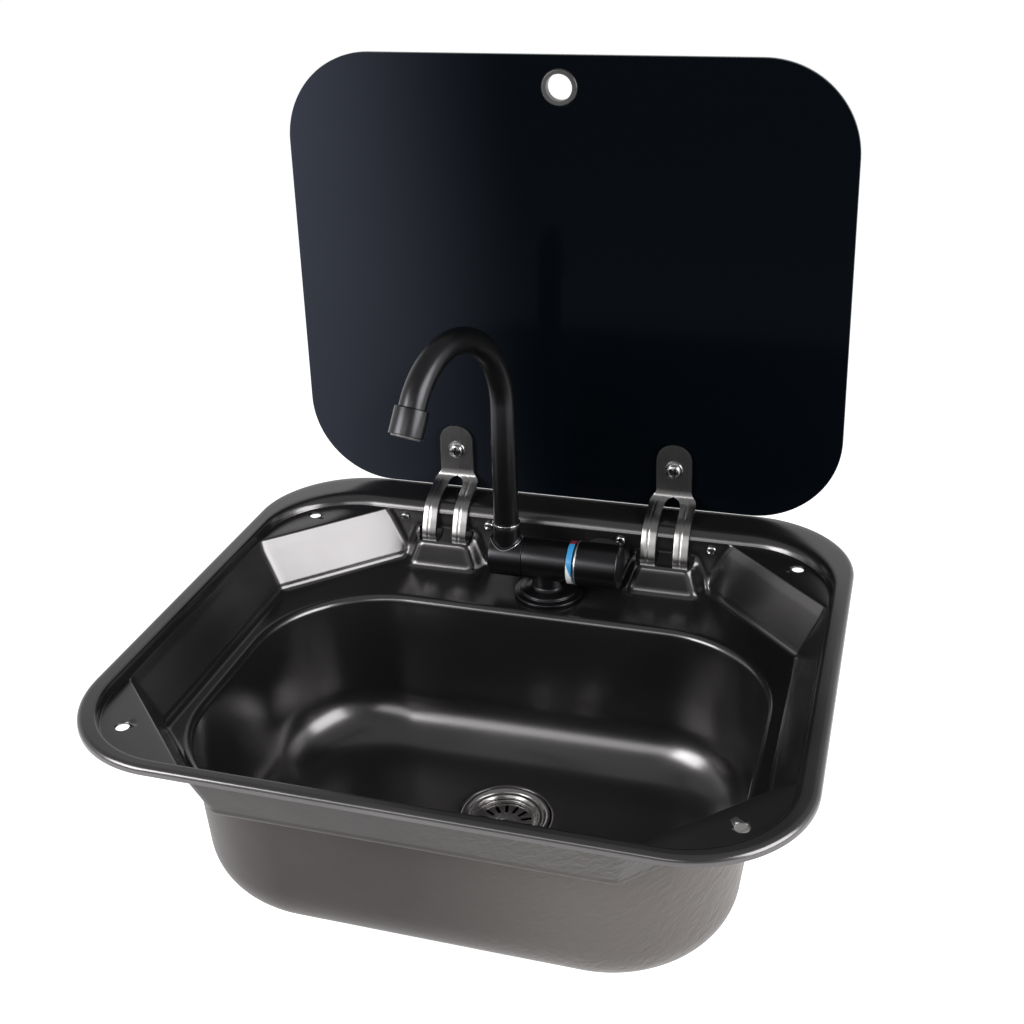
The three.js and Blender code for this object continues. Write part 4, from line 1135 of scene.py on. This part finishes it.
def makeStrap(side, label):
    s = strapSizes
    centre = side * hingeX
    stations = strapStations()
    rows = [strapRow(*station) for station in stations]
    flat = [place for part in (0, 1) for row in rows for place in row[part]]
    points = [((centre + x) * mm, y * mm, z * mm) for x, y, z in flat]
    faces = strapFaces([strapHalfGap(station[0].y) for station in stations])
    strap = meshObject("hingeStrap_" + label, points, faces, 40)
    softened(strap, 0.28, 2, 50)
    eyes = []
    pivotY, pivotZ = s["pivot"]
    drop = s["route"][0][1] - pivotZ
    outline = [(-2.6, -2.4), (2.4, -2.4), (1.6, drop - 0.4), (-1.2, drop - 1.6)]
    for low, high in ((-s["width"] / 2, -s["gap"] / 2), (s["gap"] / 2, s["width"] / 2)):
        eye = flatRing("eye", s["pin"] + 0.1, s["eye"], low, high, 0.3, 48)
        eyes.append(moved(eye, at(centre, pivotY, pivotZ) @ alongX))
        layers = [[(centre + x, pivotY + y, pivotZ + z) for y, z in outline] for x in (low, high)]
        eyes.append(stack("arm", layers))
    whole = joined("hingeStrap_" + label, strap, *eyes)
    tidyMesh(whole, 40)
    dress(whole, strapSteel, "dark_stainless", "lid", "hinge_strap_" + label)


screws = {
    "lid": {"head": 4.7, "height": 4.0, "shank": 2.5, "length": 12.0, "flange": 6.4, "flangeHeight": 1.2},
    "wall": {"head": 3.4, "height": 2.2, "shank": 2.0, "length": 5.6, "flange": 0, "flangeHeight": 0.0},
}


def crossScrew(name, sizes):
    # pan head at z < 0 and shank along +Z, with a stamped cross recess painted black as painted shade
    head, height, shank, length = (sizes[k] for k in ("head", "height", "shank", "length"))
    flange, rim = sizes["flange"], sizes["flangeHeight"]
    profile = [(0, -height)]
    for degrees in (18, 36, 54, 72, 88):
        t = math.radians(degrees)
        dome = 0.30 + 0.70 * math.cos(t) ** 0.8
        profile.append((head * math.sin(t), -rim - (height - rim) * dome))
    profile.append((head, -rim - 0.05))
    if flange:
        profile += [(flange - 0.3, -rim), (flange, -rim * 0.55), (flange, 0)]
    profile += [(shank, 0), (shank, length - 0.5), (shank - 0.5, length), (0, length)]
    screw = turnedPiece(name, profile, 0.12, 64, 2, 40)
    reach, slot, deep = head * 0.70, head * 0.20, height * 0.7
    levels = (
        (reach * 0.55, slot * 0.6, -height + deep), (reach, slot, -height + 0.15),
        (reach, slot, -height - 2))
    for degrees in (20, 110):
        layers = [[(-x, -y, z), (x, -y, z), (x, y, z), (-x, y, z)] for x, y, z in levels]
        cut(screw, moved(stack("cross", layers), turn(degrees, "Z")))
    tidyMesh(screw, 30)
    screw.data.materials.append(screwSteel.material)
    screw.data.materials.append(recessShade.material)
    # the faces deep in the cross recess take the painted shade
    for polygon in screw.data.polygons:
        spot = polygon.center
        sunk = deep * 0.45 - height < spot.z / mm < -0.2
        polygon.material_index = int(sunk and math.hypot(spot.x, spot.y) < reach * mm)
    return screw


def capNut(name):
    # hexagon with a chamfered top and a dome
    rings = [circle(radius, z, 6) for radius, z in ((4.6, 0), (4.97, 0.3), (4.97, 2.4), (4.3, 3.0))]
    body = meshObject(name, *ringSkin(rings, capFirst=True, capLast=True), smoothAngle=25)
    cap = turnedPiece("dome", [(0, 2.6), (3.9, 2.6), (3.8, 4.2, 1.2), (2.4, 5.9, 1.5), (0, 6.4)], 1.0, 48, 6)
    return joined(name, body, cap)


hingeSizes = {
    "wallScrew": (32, -8), "proud": 0.3, "pinHalf": 28.6, "pinHead": 3.4, "pinHeadLength": 1.2,
    "nut": 186.6, "washer": 185.3, "washerRadius": 7.5,
    # the dark sheet behind each hood under the rim is painted shade
    "shadeSheetHalf": 37, "shadeSheetFront": 175.2, "shadeSheetRear": 176.6, "apronLow": -47, "shadeSheetHigh": -37.5,
}


def makeHinge(side, label):
    h, s, screwZ = hingeSizes, strapSizes, lidSizes["screw"]
    x = side * hingeX
    makeStrap(side, label)
    screw = crossScrew("lidScrew_" + label, screws["lid"])
    moved(screw, at(x, s["front"] - h["proud"], screwZ) @ alongY @ turn(side * 14, "Z"))
    dress(screw, screwSteel, "screw_steel", "lid", "lid_screw_" + label)
    away, z = h["wallScrew"]
    for end, place in ((side, "outer"), (-side, "inner")):
        small = crossScrew("wallScrew_" + label + "_" + place, screws["wall"])
        wall = pressing["bend"]["rear"] - h["proud"]
        moved(small, at(x + end * away, wall, z) @ alongY @ turn(end * 25, "Z"))
        dress(small, screwSteel, "screw_steel", "sink", "wall_screw_" + label + "_" + place)
    half, thin, thick = h["pinHalf"], s["pin"], h["pinHead"]
    neck = half - h["pinHeadLength"]
    profile = [(0, -half), (thin, -half), (thin, neck), (thick, neck), (thick, half), (0, half)]
    pin = turnedPiece("hingePin_" + label, profile, 0.35, 48)
    moved(pin, at(x, *s["pivot"]) @ alongX)
    dress(pin, screwSteel, "screw_steel", "sink", "hinge_pin_" + label)
    nut = moved(capNut("capNut_" + label), at(x, h["nut"], screwZ) @ alongY)
    dress(nut, screwSteel, "screw_steel", "lid", "cap_nut_" + label)
    washer = flatRing("glassWasher_" + label, lidSizes["screwHole"], h["washerRadius"], 0, 1, 0.25, 64)
    moved(washer, at(x, h["washer"], screwZ) @ alongY)
    dress(washer, rubber, "seal_rubber", "lid", "glass_washer_" + label)
    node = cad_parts["hinge_bracket_" + label]
    bracket = bpy.data.objects.new("hingeBracket", node.data.copy())
    moved(bracket, node.matrix_world)
    scene.collection.objects.link(bracket)
    # painted shade: a dark sheet joined to the bracket under the rim, where the hood's open top shows only
    # shade
    low = (x - h["shadeSheetHalf"], h["shadeSheetFront"], h["apronLow"])
    high = (x + h["shadeSheetHalf"], h["shadeSheetRear"], h["shadeSheetHigh"])
    apron = softened(boxPiece("apron", low, high), 0.6, 3)
    whole = joined("hingeBracket_" + label, bracket, apron)
    dress(whole, bracketSteel, "dark_stainless", "sink", "hinge_bracket_" + label)


for sideSign, sideLabel in ((-1, "left"), (1, "right")):
    makeHinge(sideSign, sideLabel)
    coat(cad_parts["strap_pad_" + sideLabel], rubber)
print("sink: hinges made")


# heights are the sink's; places along the barrel are from the middle of the tap to the right
tapShape = {
    "x": 4, "y": 119, "axis": -13, "seat": -37.7, "barrel": 14.2, "left": -16.4, "right": 15.2,
    "neck": 11.9, "flange": 24.2, "shank": 15, "shankEnd": -72, "collar": -40.8, "spoutX": -29.7,
    "ring": 15, "knob": 15.5, "knobLeft": 22.3, "knobRight": 50.8, "core": 10.3, "lever": -42,
    "socket": 9.4, "nutFlat": 20.0, "tails": (("inlet_tail_cold", -7), ("inlet_tail_hot", 7)),
    "rings": (("tap_gasket", 22.4, -38.7, -38.0), ("tap_washer", 20.5, -42.7, -40.3)),
}


def onBarrel(piece):
    t = tapShape
    return moved(piece, at(t["x"], t["y"], t["axis"]) @ alongX)


def threadLine(radius, low, high, pitch, depth):
    # the outline of a thread, drawn as plain rings from low to high
    line = []
    for i in range(int((high - low) / pitch)):
        z = low + i * pitch
        line += [(radius - depth, z + pitch * 0.10, 0), (radius, z + pitch * 0.42, 0),
                 (radius, z + pitch * 0.58, 0), (radius - depth, z + pitch * 0.90, 0)]
    return line


def barrelHeight(reach, angle):
    # how far the barrel's surface stands from its axis above a point this far from the middle
    return math.sqrt(max(tapShape["barrel"] ** 2 - (reach * math.sin(angle)) ** 2, 0.0))


def saddle(placeAt, bands=8, columns=96):
    # rings of a skin that blends a round neck into the barrel
    rings = []
    for share in (k / bands for k in range(bands + 1)):
        ring = []
        for a in (2 * math.pi * i / columns for i in range(columns)):
            radius, z = placeAt(share, a)
            ring.append((radius * mm * math.cos(a), radius * mm * math.sin(a), z * mm))
        rings.append(ring)
    return rings


def makeTapBody():
    t = tapShape
    seat, neck, flange, core = t["seat"], t["neck"], t["flange"], t["shank"] - 0.7
    profile = [(0, t["shankEnd"]), (t["shank"] - 1.6, t["shankEnd"], 0.3)]
    profile += threadLine(t["shank"], t["shankEnd"] + 1.5, seat - 6.0, 1.5, 0.7)
    profile += [
        (core, seat - 5.5, 0), (core, seat, 0), (flange, seat, 0.3), (flange, seat + 1.6, 0.9),
        (20.8, seat + 2.2, 0.5), (20.2, seat + 2.4, 0.3), (19.8, seat + 3.9, 0.9), (17.8, seat + 4.6, 1.2),
        (13.6, seat + 5.4, 1.8), (neck, seat + 7.2, 1.6), (neck, seat + 8.6, 0)]
    post = turnedPiece("tapBody", profile, 0.3, 96, 5)
    reach = neck + 1.7

    def neckPlace(share, angle):
        top = t["axis"] - barrelHeight(reach, angle) + 0.25
        low = max(seat + 8.6, top - 2.6)
        return eased(neck, neck, reach, share), eased(low, top, top, share)

    collar = meshObject("neck", *ringSkin([circle(neck, seat + 8.6, 96)] + saddle(neckPlace)))
    for piece in (post, collar):
        moved(piece, at(t["x"], t["y"], 0))
    left, right, barrel = t["left"], t["right"], t["barrel"]
    drum = turnedPiece("barrel", [
        (0, left - 14), (6.5, left - 14, 0.4), (7, left - 13, 0.3), (7, left, 0.1), (barrel, left, 0.7),
        (barrel, right, 0.5), (t["core"], right, 0.2), (t["core"], 0, 0.1), (0, 0)], 0.5, 128, 5)
    body = joined("tapBody", post, onBarrel(drum), collar)
    dress(body, tapBlack, "black_tap", "sink", "tap_body")


def makeCollar():
    t = tapShape
    left, right, barrel, reach = t["collar"], t["left"] - 0.3, t["barrel"], t["socket"]
    drum = onBarrel(turnedPiece("foldCollar", [
        (0, left), (barrel, left, 1.9), (barrel, right, 0.6), (7.1, right, 0.2), (7.1, left + 10, 0.1),
        (0, left + 10)], 0.5, 128, 6))
    wide = reach + 2.2

    def footPlace(share, angle):
        low = t["axis"] + barrelHeight(wide, angle) - 0.25
        radius = wide * (1 - share) ** 2 + reach * (1 - (1 - share) ** 2)
        return radius, low * (1 - share ** 2) + (low + 3.0) * share ** 2

    mouth = ((reach, 8.0), (reach, 11.0), (reach - 0.15, 11.35), (reach - 0.45, 11.5), (6.4, 11.5),
             (6.3, 11.3), (6.3, 1.0), (0.02, 1.0))
    rings = saddle(footPlace) + [circle(radius, z, 96) for radius, z in mouth]
    onCollar = at(t["x"] + t["spoutX"], t["y"], 0)
    socket = moved(meshObject("socket", *ringSkin(rings)), onCollar)
    dress(joined("foldCollar", drum, socket), tapBlack, "black_tap", "spout_mount", "fold_collar")
    rings = []
    wide = reach + 1.75
    for a in (2 * math.pi * k / 96 for k in range(96)):
        top = t["axis"] + barrelHeight(wide, a) + 0.15
        middle = Vector((wide * math.cos(a), wide * math.sin(a), top))
        out, up = Vector((math.cos(a), math.sin(a), 0.0)) * 0.32, Vector((0, 0, 0.32))
        turns = [2 * math.pi * i / 10 for i in range(10)]
        rings.append([tuple((middle + out * math.cos(b) + up * math.sin(b)) * mm) for b in turns])
    bead = moved(meshObject("collarBead", *ringSkin(rings, closedAlong=True)), onCollar)
    dress(bead, chrome, "bright_trim", "spout_mount")


def makeKnob():
    t = tapShape
    left, right, radius = t["knobLeft"], t["knobRight"], t["knob"]
    drum = turnedPiece("knob", [
        (4.2, left + 12.5), (4.2, left, 0.3), (radius, left, 0.5), (radius, right, 2.0),
        (0, right + 0.25)], 0.5, 128, 6)
    middle, half = (left + right) / 2, (right - left) / 2 - 4.2
    outline = []
    for share in (-1 + 2 * i / 40 for i in range(41)):
        bulge = 4.3 * math.sqrt(max(1 - abs(share) ** 3.2, 0.0))
        outline.append((middle + half * share, radius + bulge - 0.2))
    outline = [(middle + half, 8.0)] + outline[::-1] + [(middle - half, 8.0)]
    layers = []
    for drawn, y in ((1.5, -2.2), (0.7, -2.1), (0.2, -1.7), (0.0, -1.0),
                     (0.0, 1.0), (0.2, 1.7), (0.7, 2.1), (1.5, 2.2)):
        layers.append([(x - drawn * (x - middle) / half, y, z - drawn * max(z - (radius - 2), 0) / 6.0)
                       for x, z in outline])
    tongue = moved(stack("tongue", layers, 50), at(t["x"], t["y"], t["axis"]) @ turn(t["lever"], "X"))
    dress(joined("knob", onBarrel(drum), tongue), tapBlack, "black_tap", "knob", "knob")


def makeTapRings():
    t = tapShape
    r, core, ring, knob = t["right"], t["core"], t["ring"], t["knob"]
    band = turnedPiece("indicatorRing", [
        (core, r + 0.3), (ring, r + 0.3, 0.35), (ring, r + 4.2, 0.35), (core, r + 4.2),
        (core, r + 0.3)], 0.3, 128)
    centre = (t["x"] * mm, t["y"] * mm, t["axis"] * mm)
    dress(onBarrel(band), temperatureRing(centre), "white_ring", "sink", "indicator_ring")
    trim = turnedPiece("trimRing", [
        (core, r + 4.5), (13.0, r + 4.5, 0.1), (13.0, r + 5.8, 0.1), (knob, r + 5.8, 0.22),
        (knob, r + 6.75, 0.22), (core, r + 6.75), (core, r + 4.5)], 0.2, 128)
    dress(onBarrel(trim), trimSteel, "bright_trim", "sink", "knob_trim_ring")
    trim.data.materials.append(ringPlastic.material)
    for polygon in trim.data.polygons:
        spot = polygon.center
        far = math.hypot(spot.y - centre[1], spot.z - centre[2])
        polygon.material_index = int(spot.x < (t["x"] + r + 5.78) * mm or far < 13.1 * mm)
    end = t["knobLeft"] + 12
    stem = turnedPiece("cartridge", [
        (0, -5.6), (9.2, -5.6), (10, -4.8), (10, r + 6.4), (4, r + 6.4), (4, end), (0, end)], 0.3, 64)
    dress(onBarrel(stem), brassMetal, "brass_parts", "sink", "cartridge")


def makeTapUnderside():
    t = tapShape
    bore = t["shank"] + 0.3
    for name, outer, low, high in t["rings"]:
        ring = flatRing(name, bore, outer, low, high, 0.2, 96)
        dress(moved(ring, at(t["x"], t["y"], 0)), rubber, "seal_rubber", "sink", name)
    # the locknut's flats cut into turned rings, so its corners are rounded off at both ends
    flat, sixth = t["nutFlat"], math.pi / 3
    corner = flat / math.cos(sixth / 2)
    rings = []
    for radius, z in ((corner - 0.8, -49.6), (corner, -48.7), (corner, -44.1), (corner - 0.8, -43.2),
                      (15.4, -43.2), (15.4, -49.6), (corner - 0.8, -49.6)):
        ring = []
        for a in (2 * math.pi * i / 72 for i in range(72)):
            edge = flat / math.cos((a + sixth / 2) % sixth - sixth / 2)
            reach = min(radius, edge) if radius > 16 else radius
            ring.append((reach * mm * math.cos(a), reach * mm * math.sin(a), z * mm))
        rings.append(ring)
    nut = meshObject("tapLocknut", *ringSkin(rings), smoothAngle=20)
    dress(moved(nut, at(t["x"], t["y"], 0)), brassMetal, "brass_parts", "sink", "tap_locknut")
    top, end = t["shankEnd"] + 15, t["shankEnd"] - 26
    for name, y in t["tails"]:
        tail = turnedPiece(name, [
            (2.4, end), (4, end, 0.4), (5.4, end + 4, 0.2), (4.2, end + 4.1, 0.2), (5.4, end + 8, 0.2),
            (4, end + 8.1, 0.2), (4, top, 0.3), (2.4, top), (2.4, end)], 0.2, 48)
        dress(moved(tail, at(t["x"], t["y"] + y, 0)), brassMetal, "brass_parts", "sink", name)


makeTapBody()
makeCollar()
makeKnob()
makeTapRings()
makeTapUnderside()
print("sink: tap made")


# the spout rises from the collar, turns over in two bends and ends in the nozzle
spoutShape = {
    "radius": 8.7, "wall": 1.2, "ringLow": 11.8, "start": 13.6, "rise": 100.7,
    "first": (63.5, math.radians(78.5)), "second": (49.7, math.radians(150.1)), "tail": 2,
    "steps": 96, "around": 56, "heading": 256, "nozzleRadius": 10.9, "nozzleLength": 17.5,
    "grate": 7.3, "barSpacing": 2.0, "barHalf": 0.22,
}


def spoutPlace(turned, past=0.0):
    # (reach, height, slope) where the bend has turned by this angle
    s = spoutShape
    firstRadius, firstTurn = s["first"]
    secondRadius = s["second"][0]
    if turned <= firstTurn:
        return (firstRadius * (1 - math.cos(turned)), s["rise"] + firstRadius * math.sin(turned), turned)
    growth = secondRadius - firstRadius
    x = firstRadius + growth * math.cos(firstTurn) - secondRadius * math.cos(turned) + past * math.sin(turned)
    z = s["rise"] - growth * math.sin(firstTurn) + secondRadius * math.sin(turned) + past * math.cos(turned)
    return (x, z, turned)


def spoutRing(radius, x, z, slope):
    ring = []
    for a in (2 * math.pi * i / spoutShape["around"] for i in range(spoutShape["around"])):
        out = radius * math.cos(a)
        spot = (x + out * math.cos(slope), radius * math.sin(a), z - out * math.sin(slope))
        ring.append(tuple(value * mm for value in spot))
    return ring


def makeSpout():
    s, t = spoutShape, tapShape
    onCollar = at(t["x"] + t["spoutX"], t["y"], 0) @ turn(s["heading"], "Z")
    start, steps, fullTurn = s["start"], s["steps"], s["second"][1]
    line = [(0, start + share * (s["rise"] - start), 0) for share in (0, 0.004, 0.3, 0.6, 0.9)]
    line += [spoutPlace(fullTurn * i / steps) for i in range(steps + 1)]
    line.append(spoutPlace(fullTurn, s["tail"]))
    rings = [spoutRing(s["radius"], *station) for station in line]
    rings += [spoutRing(s["radius"] - s["wall"], *station) for station in line[::-1]]
    tube = meshObject("spoutTube", *ringSkin(rings, closedAlong=True), smoothAngle=40)
    spigot = turnedPiece("spigot", [
        (4.2, start + 0.5), (4.2, start - 12), (6.2, start - 12, 0.5), (6.2, start + 0.5)], 0.3, 48)
    tube = joined("spoutTube", tube, spigot)
    dress(moved(tube, onCollar), tapBlack, "black_tap", "spout", "spout_tube")
    low = s["ringLow"]
    ring = turnedPiece("spoutRing", [
        (6.5, low), (9.7, low, 0.35), (9.7, low + 1.5, 0.4), (6.5, low + 1.5), (6.5, low)], 0.3, 96)
    dress(moved(ring, onCollar), chrome, "bright_trim", "spout", "spout_ring")


def makeNozzle():
    s, t = spoutShape, tapShape
    x, z, slope = spoutPlace(s["second"][1], s["tail"])
    onCollar = at(t["x"] + t["spoutX"], t["y"], 0) @ turn(s["heading"], "Z")
    onEnd = onCollar @ at(x, 0, z) @ turn(math.degrees(slope), "Y")
    outer, end = s["nozzleRadius"], s["nozzleLength"]
    sleeve = turnedPiece("nozzle", [
        (6, 0.3), (9.2, 0.3, 0.2), (outer, 0.3, 0.7), (outer, end, 0.5), (9.6, end, 0.2),
        (9.6, end - 6), (6, end - 6), (6, 0.3)], 0.2, 112)
    dress(moved(sleeve, onEnd), tapBlack, "black_tap", "spout", "nozzle")
    cup = turnedPiece("aerator", [
        (0, end - 5.7), (9.2, end - 5.7), (9.2, end + 1.1, 0.4), (7.6, end + 1.1, 0.4),
        (7.4, end - 1.9), (0, end - 1.9)], 0.2, 96)
    bars = []
    thin, low = s["barHalf"], end - 2.0
    for k in range(-3, 4):
        place = k * s["barSpacing"]
        half = math.sqrt(s["grate"] ** 2 - place ** 2)
        bars.append(boxPiece("bar", (place - thin, -half, low), (place + thin, half, end - 0.9)))
        bars.append(boxPiece("bar", (-half, place - thin, low), (half, place + thin, end - 1.0)))
    dress(moved(joined("aerator", cup, *bars), onEnd), nozzlePlastic, "ring_plastic", "spout", "aerator")


makeSpout()
makeNozzle()
print("sink: spout made")


# the strainer's plate lies in the drain's cup, and its profile is (radius, height over the cup)
wasteShape = {
    "plate": [(0, -4.9), (19.0, -4.9, 0.4), (20.2, -3.0, 0.6), (20.6, 0.3, 0.5), (28.6, 0.3, 0.4),
              (29.7, 1.4, 0.5), (29.9, 2.3, 0.5), (29.0, 3.1, 0.6), (27.6, 3.0, 1.2), (25.6, 1.6, 0.5),
              (25.2, 1.0, 0.3), (24.2, 1.0, 0.3), (23.4, 1.8, 0.3), (22.4, 1.8, 0.4), (20.2, -1.3, 0.8),
              (19.8, -1.4, 0.3), (19.2, -1.5, 0.4), (18.8, -3.4, 0.4), (7.2, -3.4, 0.5), (6.4, -2.9, 0.5),
              (0, -2.9)],
    "slots": 15, "slotTurn": 5.5, "slotRadius": 1.2, "slotEnds": (16.9, 11.9),
    "screw": [(0, -11), (1.8, -11), (2.4, -10.2), (2.4, 0), (4, 0, 0.2), (4, 0.9, 0.7),
              (2.8, 1.6, 0.8), (0, 1.7)],
    "screwSeat": -2.8, "screwTurn": 25, "sealGap": 0.3, "seal": (22, 28.6, 2), "bodyGap": 2.6,
    "bodyDepth": 14, "outlet": 30, "ribs": 12,
}


def onDrain(piece):
    return moved(piece, at(*pressing["drain"], 0))


def makeStrainer():
    w, cup = wasteShape, pressing["cup"]
    profile = [(r, cup + z, *corner) for r, z, *corner in w["plate"]]
    plate = turnedPiece("strainer", profile, 0.4, 144, 4)
    outline = []
    for cx, start in zip(w["slotEnds"], (-90, 90)):
        for a in (math.radians(start + 180 * i / 8) for i in range(9)):
            outline.append((cx + w["slotRadius"] * math.cos(a), w["slotRadius"] * math.sin(a)))
    tools = []
    for k in range(w["slots"]):
        slot = stack("slot", [[(x, y, z) for x, y in outline] for z in (cup - 7, cup - 2.2)])
        tools.append(moved(slot, turn(k * 360 / w["slots"] + w["slotTurn"], "Z")))
    cut(plate, *tools, solver="MANIFOLD")
    tidyMesh(plate, 32)
    centre = [value * mm for value in pressing["drain"]]
    steel = turnedSteel("strainerSteel", (0.36, 0.345, 0.34), 0.22, centre)
    dress(onDrain(plate), steel, "brushed_strainer", "sink", "strainer")
    seat = cup + w["screwSeat"]
    profile = [(r, seat + z, *corner) for r, z, *corner in w["screw"]]
    screw = turnedPiece("strainerScrew", profile, 0.2, 64, 4)
    cut(screw, boxPiece("slot", (-5, -0.45, seat + 0.9), (5, 0.45, seat + 3)), solver="MANIFOLD")
    tidyMesh(screw, 32)
    moved(screw, turn(w["screwTurn"], "Z"))
    dress(onDrain(screw), screwSteel, "bright_trim", "sink", "strainer_screw")


def makeWaste():
    w = wasteShape
    under = pressing["cup"] - pressing["sheet"]
    inner, outer, thick = w["seal"]
    sealTop = under - w["sealGap"]
    gasket = flatRing("waste_gasket", inner, outer, sealTop - thick, sealTop, 0.3, 96)
    dress(onDrain(gasket), rubber, "seal_rubber", "sink", "waste_gasket")
    top = under - w["bodyGap"]
    floor = top - w["bodyDepth"]
    end = floor - w["outlet"]
    profile = [(10, end), (12.2, end, 0.3)] + threadLine(12.9, end + 1.2, end + 19, 2.0, 0.6)
    profile += [
        (12.4, floor - 2, 0.8), (20, floor, 2.0), (24.5, floor + 4, 2.0), (25, top - 3, 0.5),
        (29, top - 3, 0.5), (29, top, 0.4), (22, top, 0.3), (21.4, floor + 6, 1.5),
        (17, floor + 2.4, 1.5), (10, floor + 2.4, 0.4), (10, end)]
    cup = turnedPiece("wasteBody", profile, 0.3, 96, 4)
    ribs = []
    for k in range(w["ribs"]):
        rib = boxPiece("rib", (23.6, -0.8, floor + 5), (27.6, 0.8, top - 3))
        ribs.append(moved(rib, turn(k * 360 / w["ribs"], "Z")))
    web = boxPiece("web", (-20.5, -1.5, floor), (20.5, 1.5, top - 4))
    profile = [(2.7, top - 1.9), (5.4, top - 1.9, 0.4), (5.4, floor, 0.3), (0, floor)]
    post = turnedPiece("post", profile, 0.3, 48)
    body = joined("wasteBody", cup, web, post, *ribs)
    dress(onDrain(body), wastePlastic, "waste_plastic", "sink", "waste_body")


makeStrainer()
makeWaste()
coat(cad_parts["rim_seal"], rubber)
print("sink: waste made")

scene.view_settings.view_transform = "Standard"
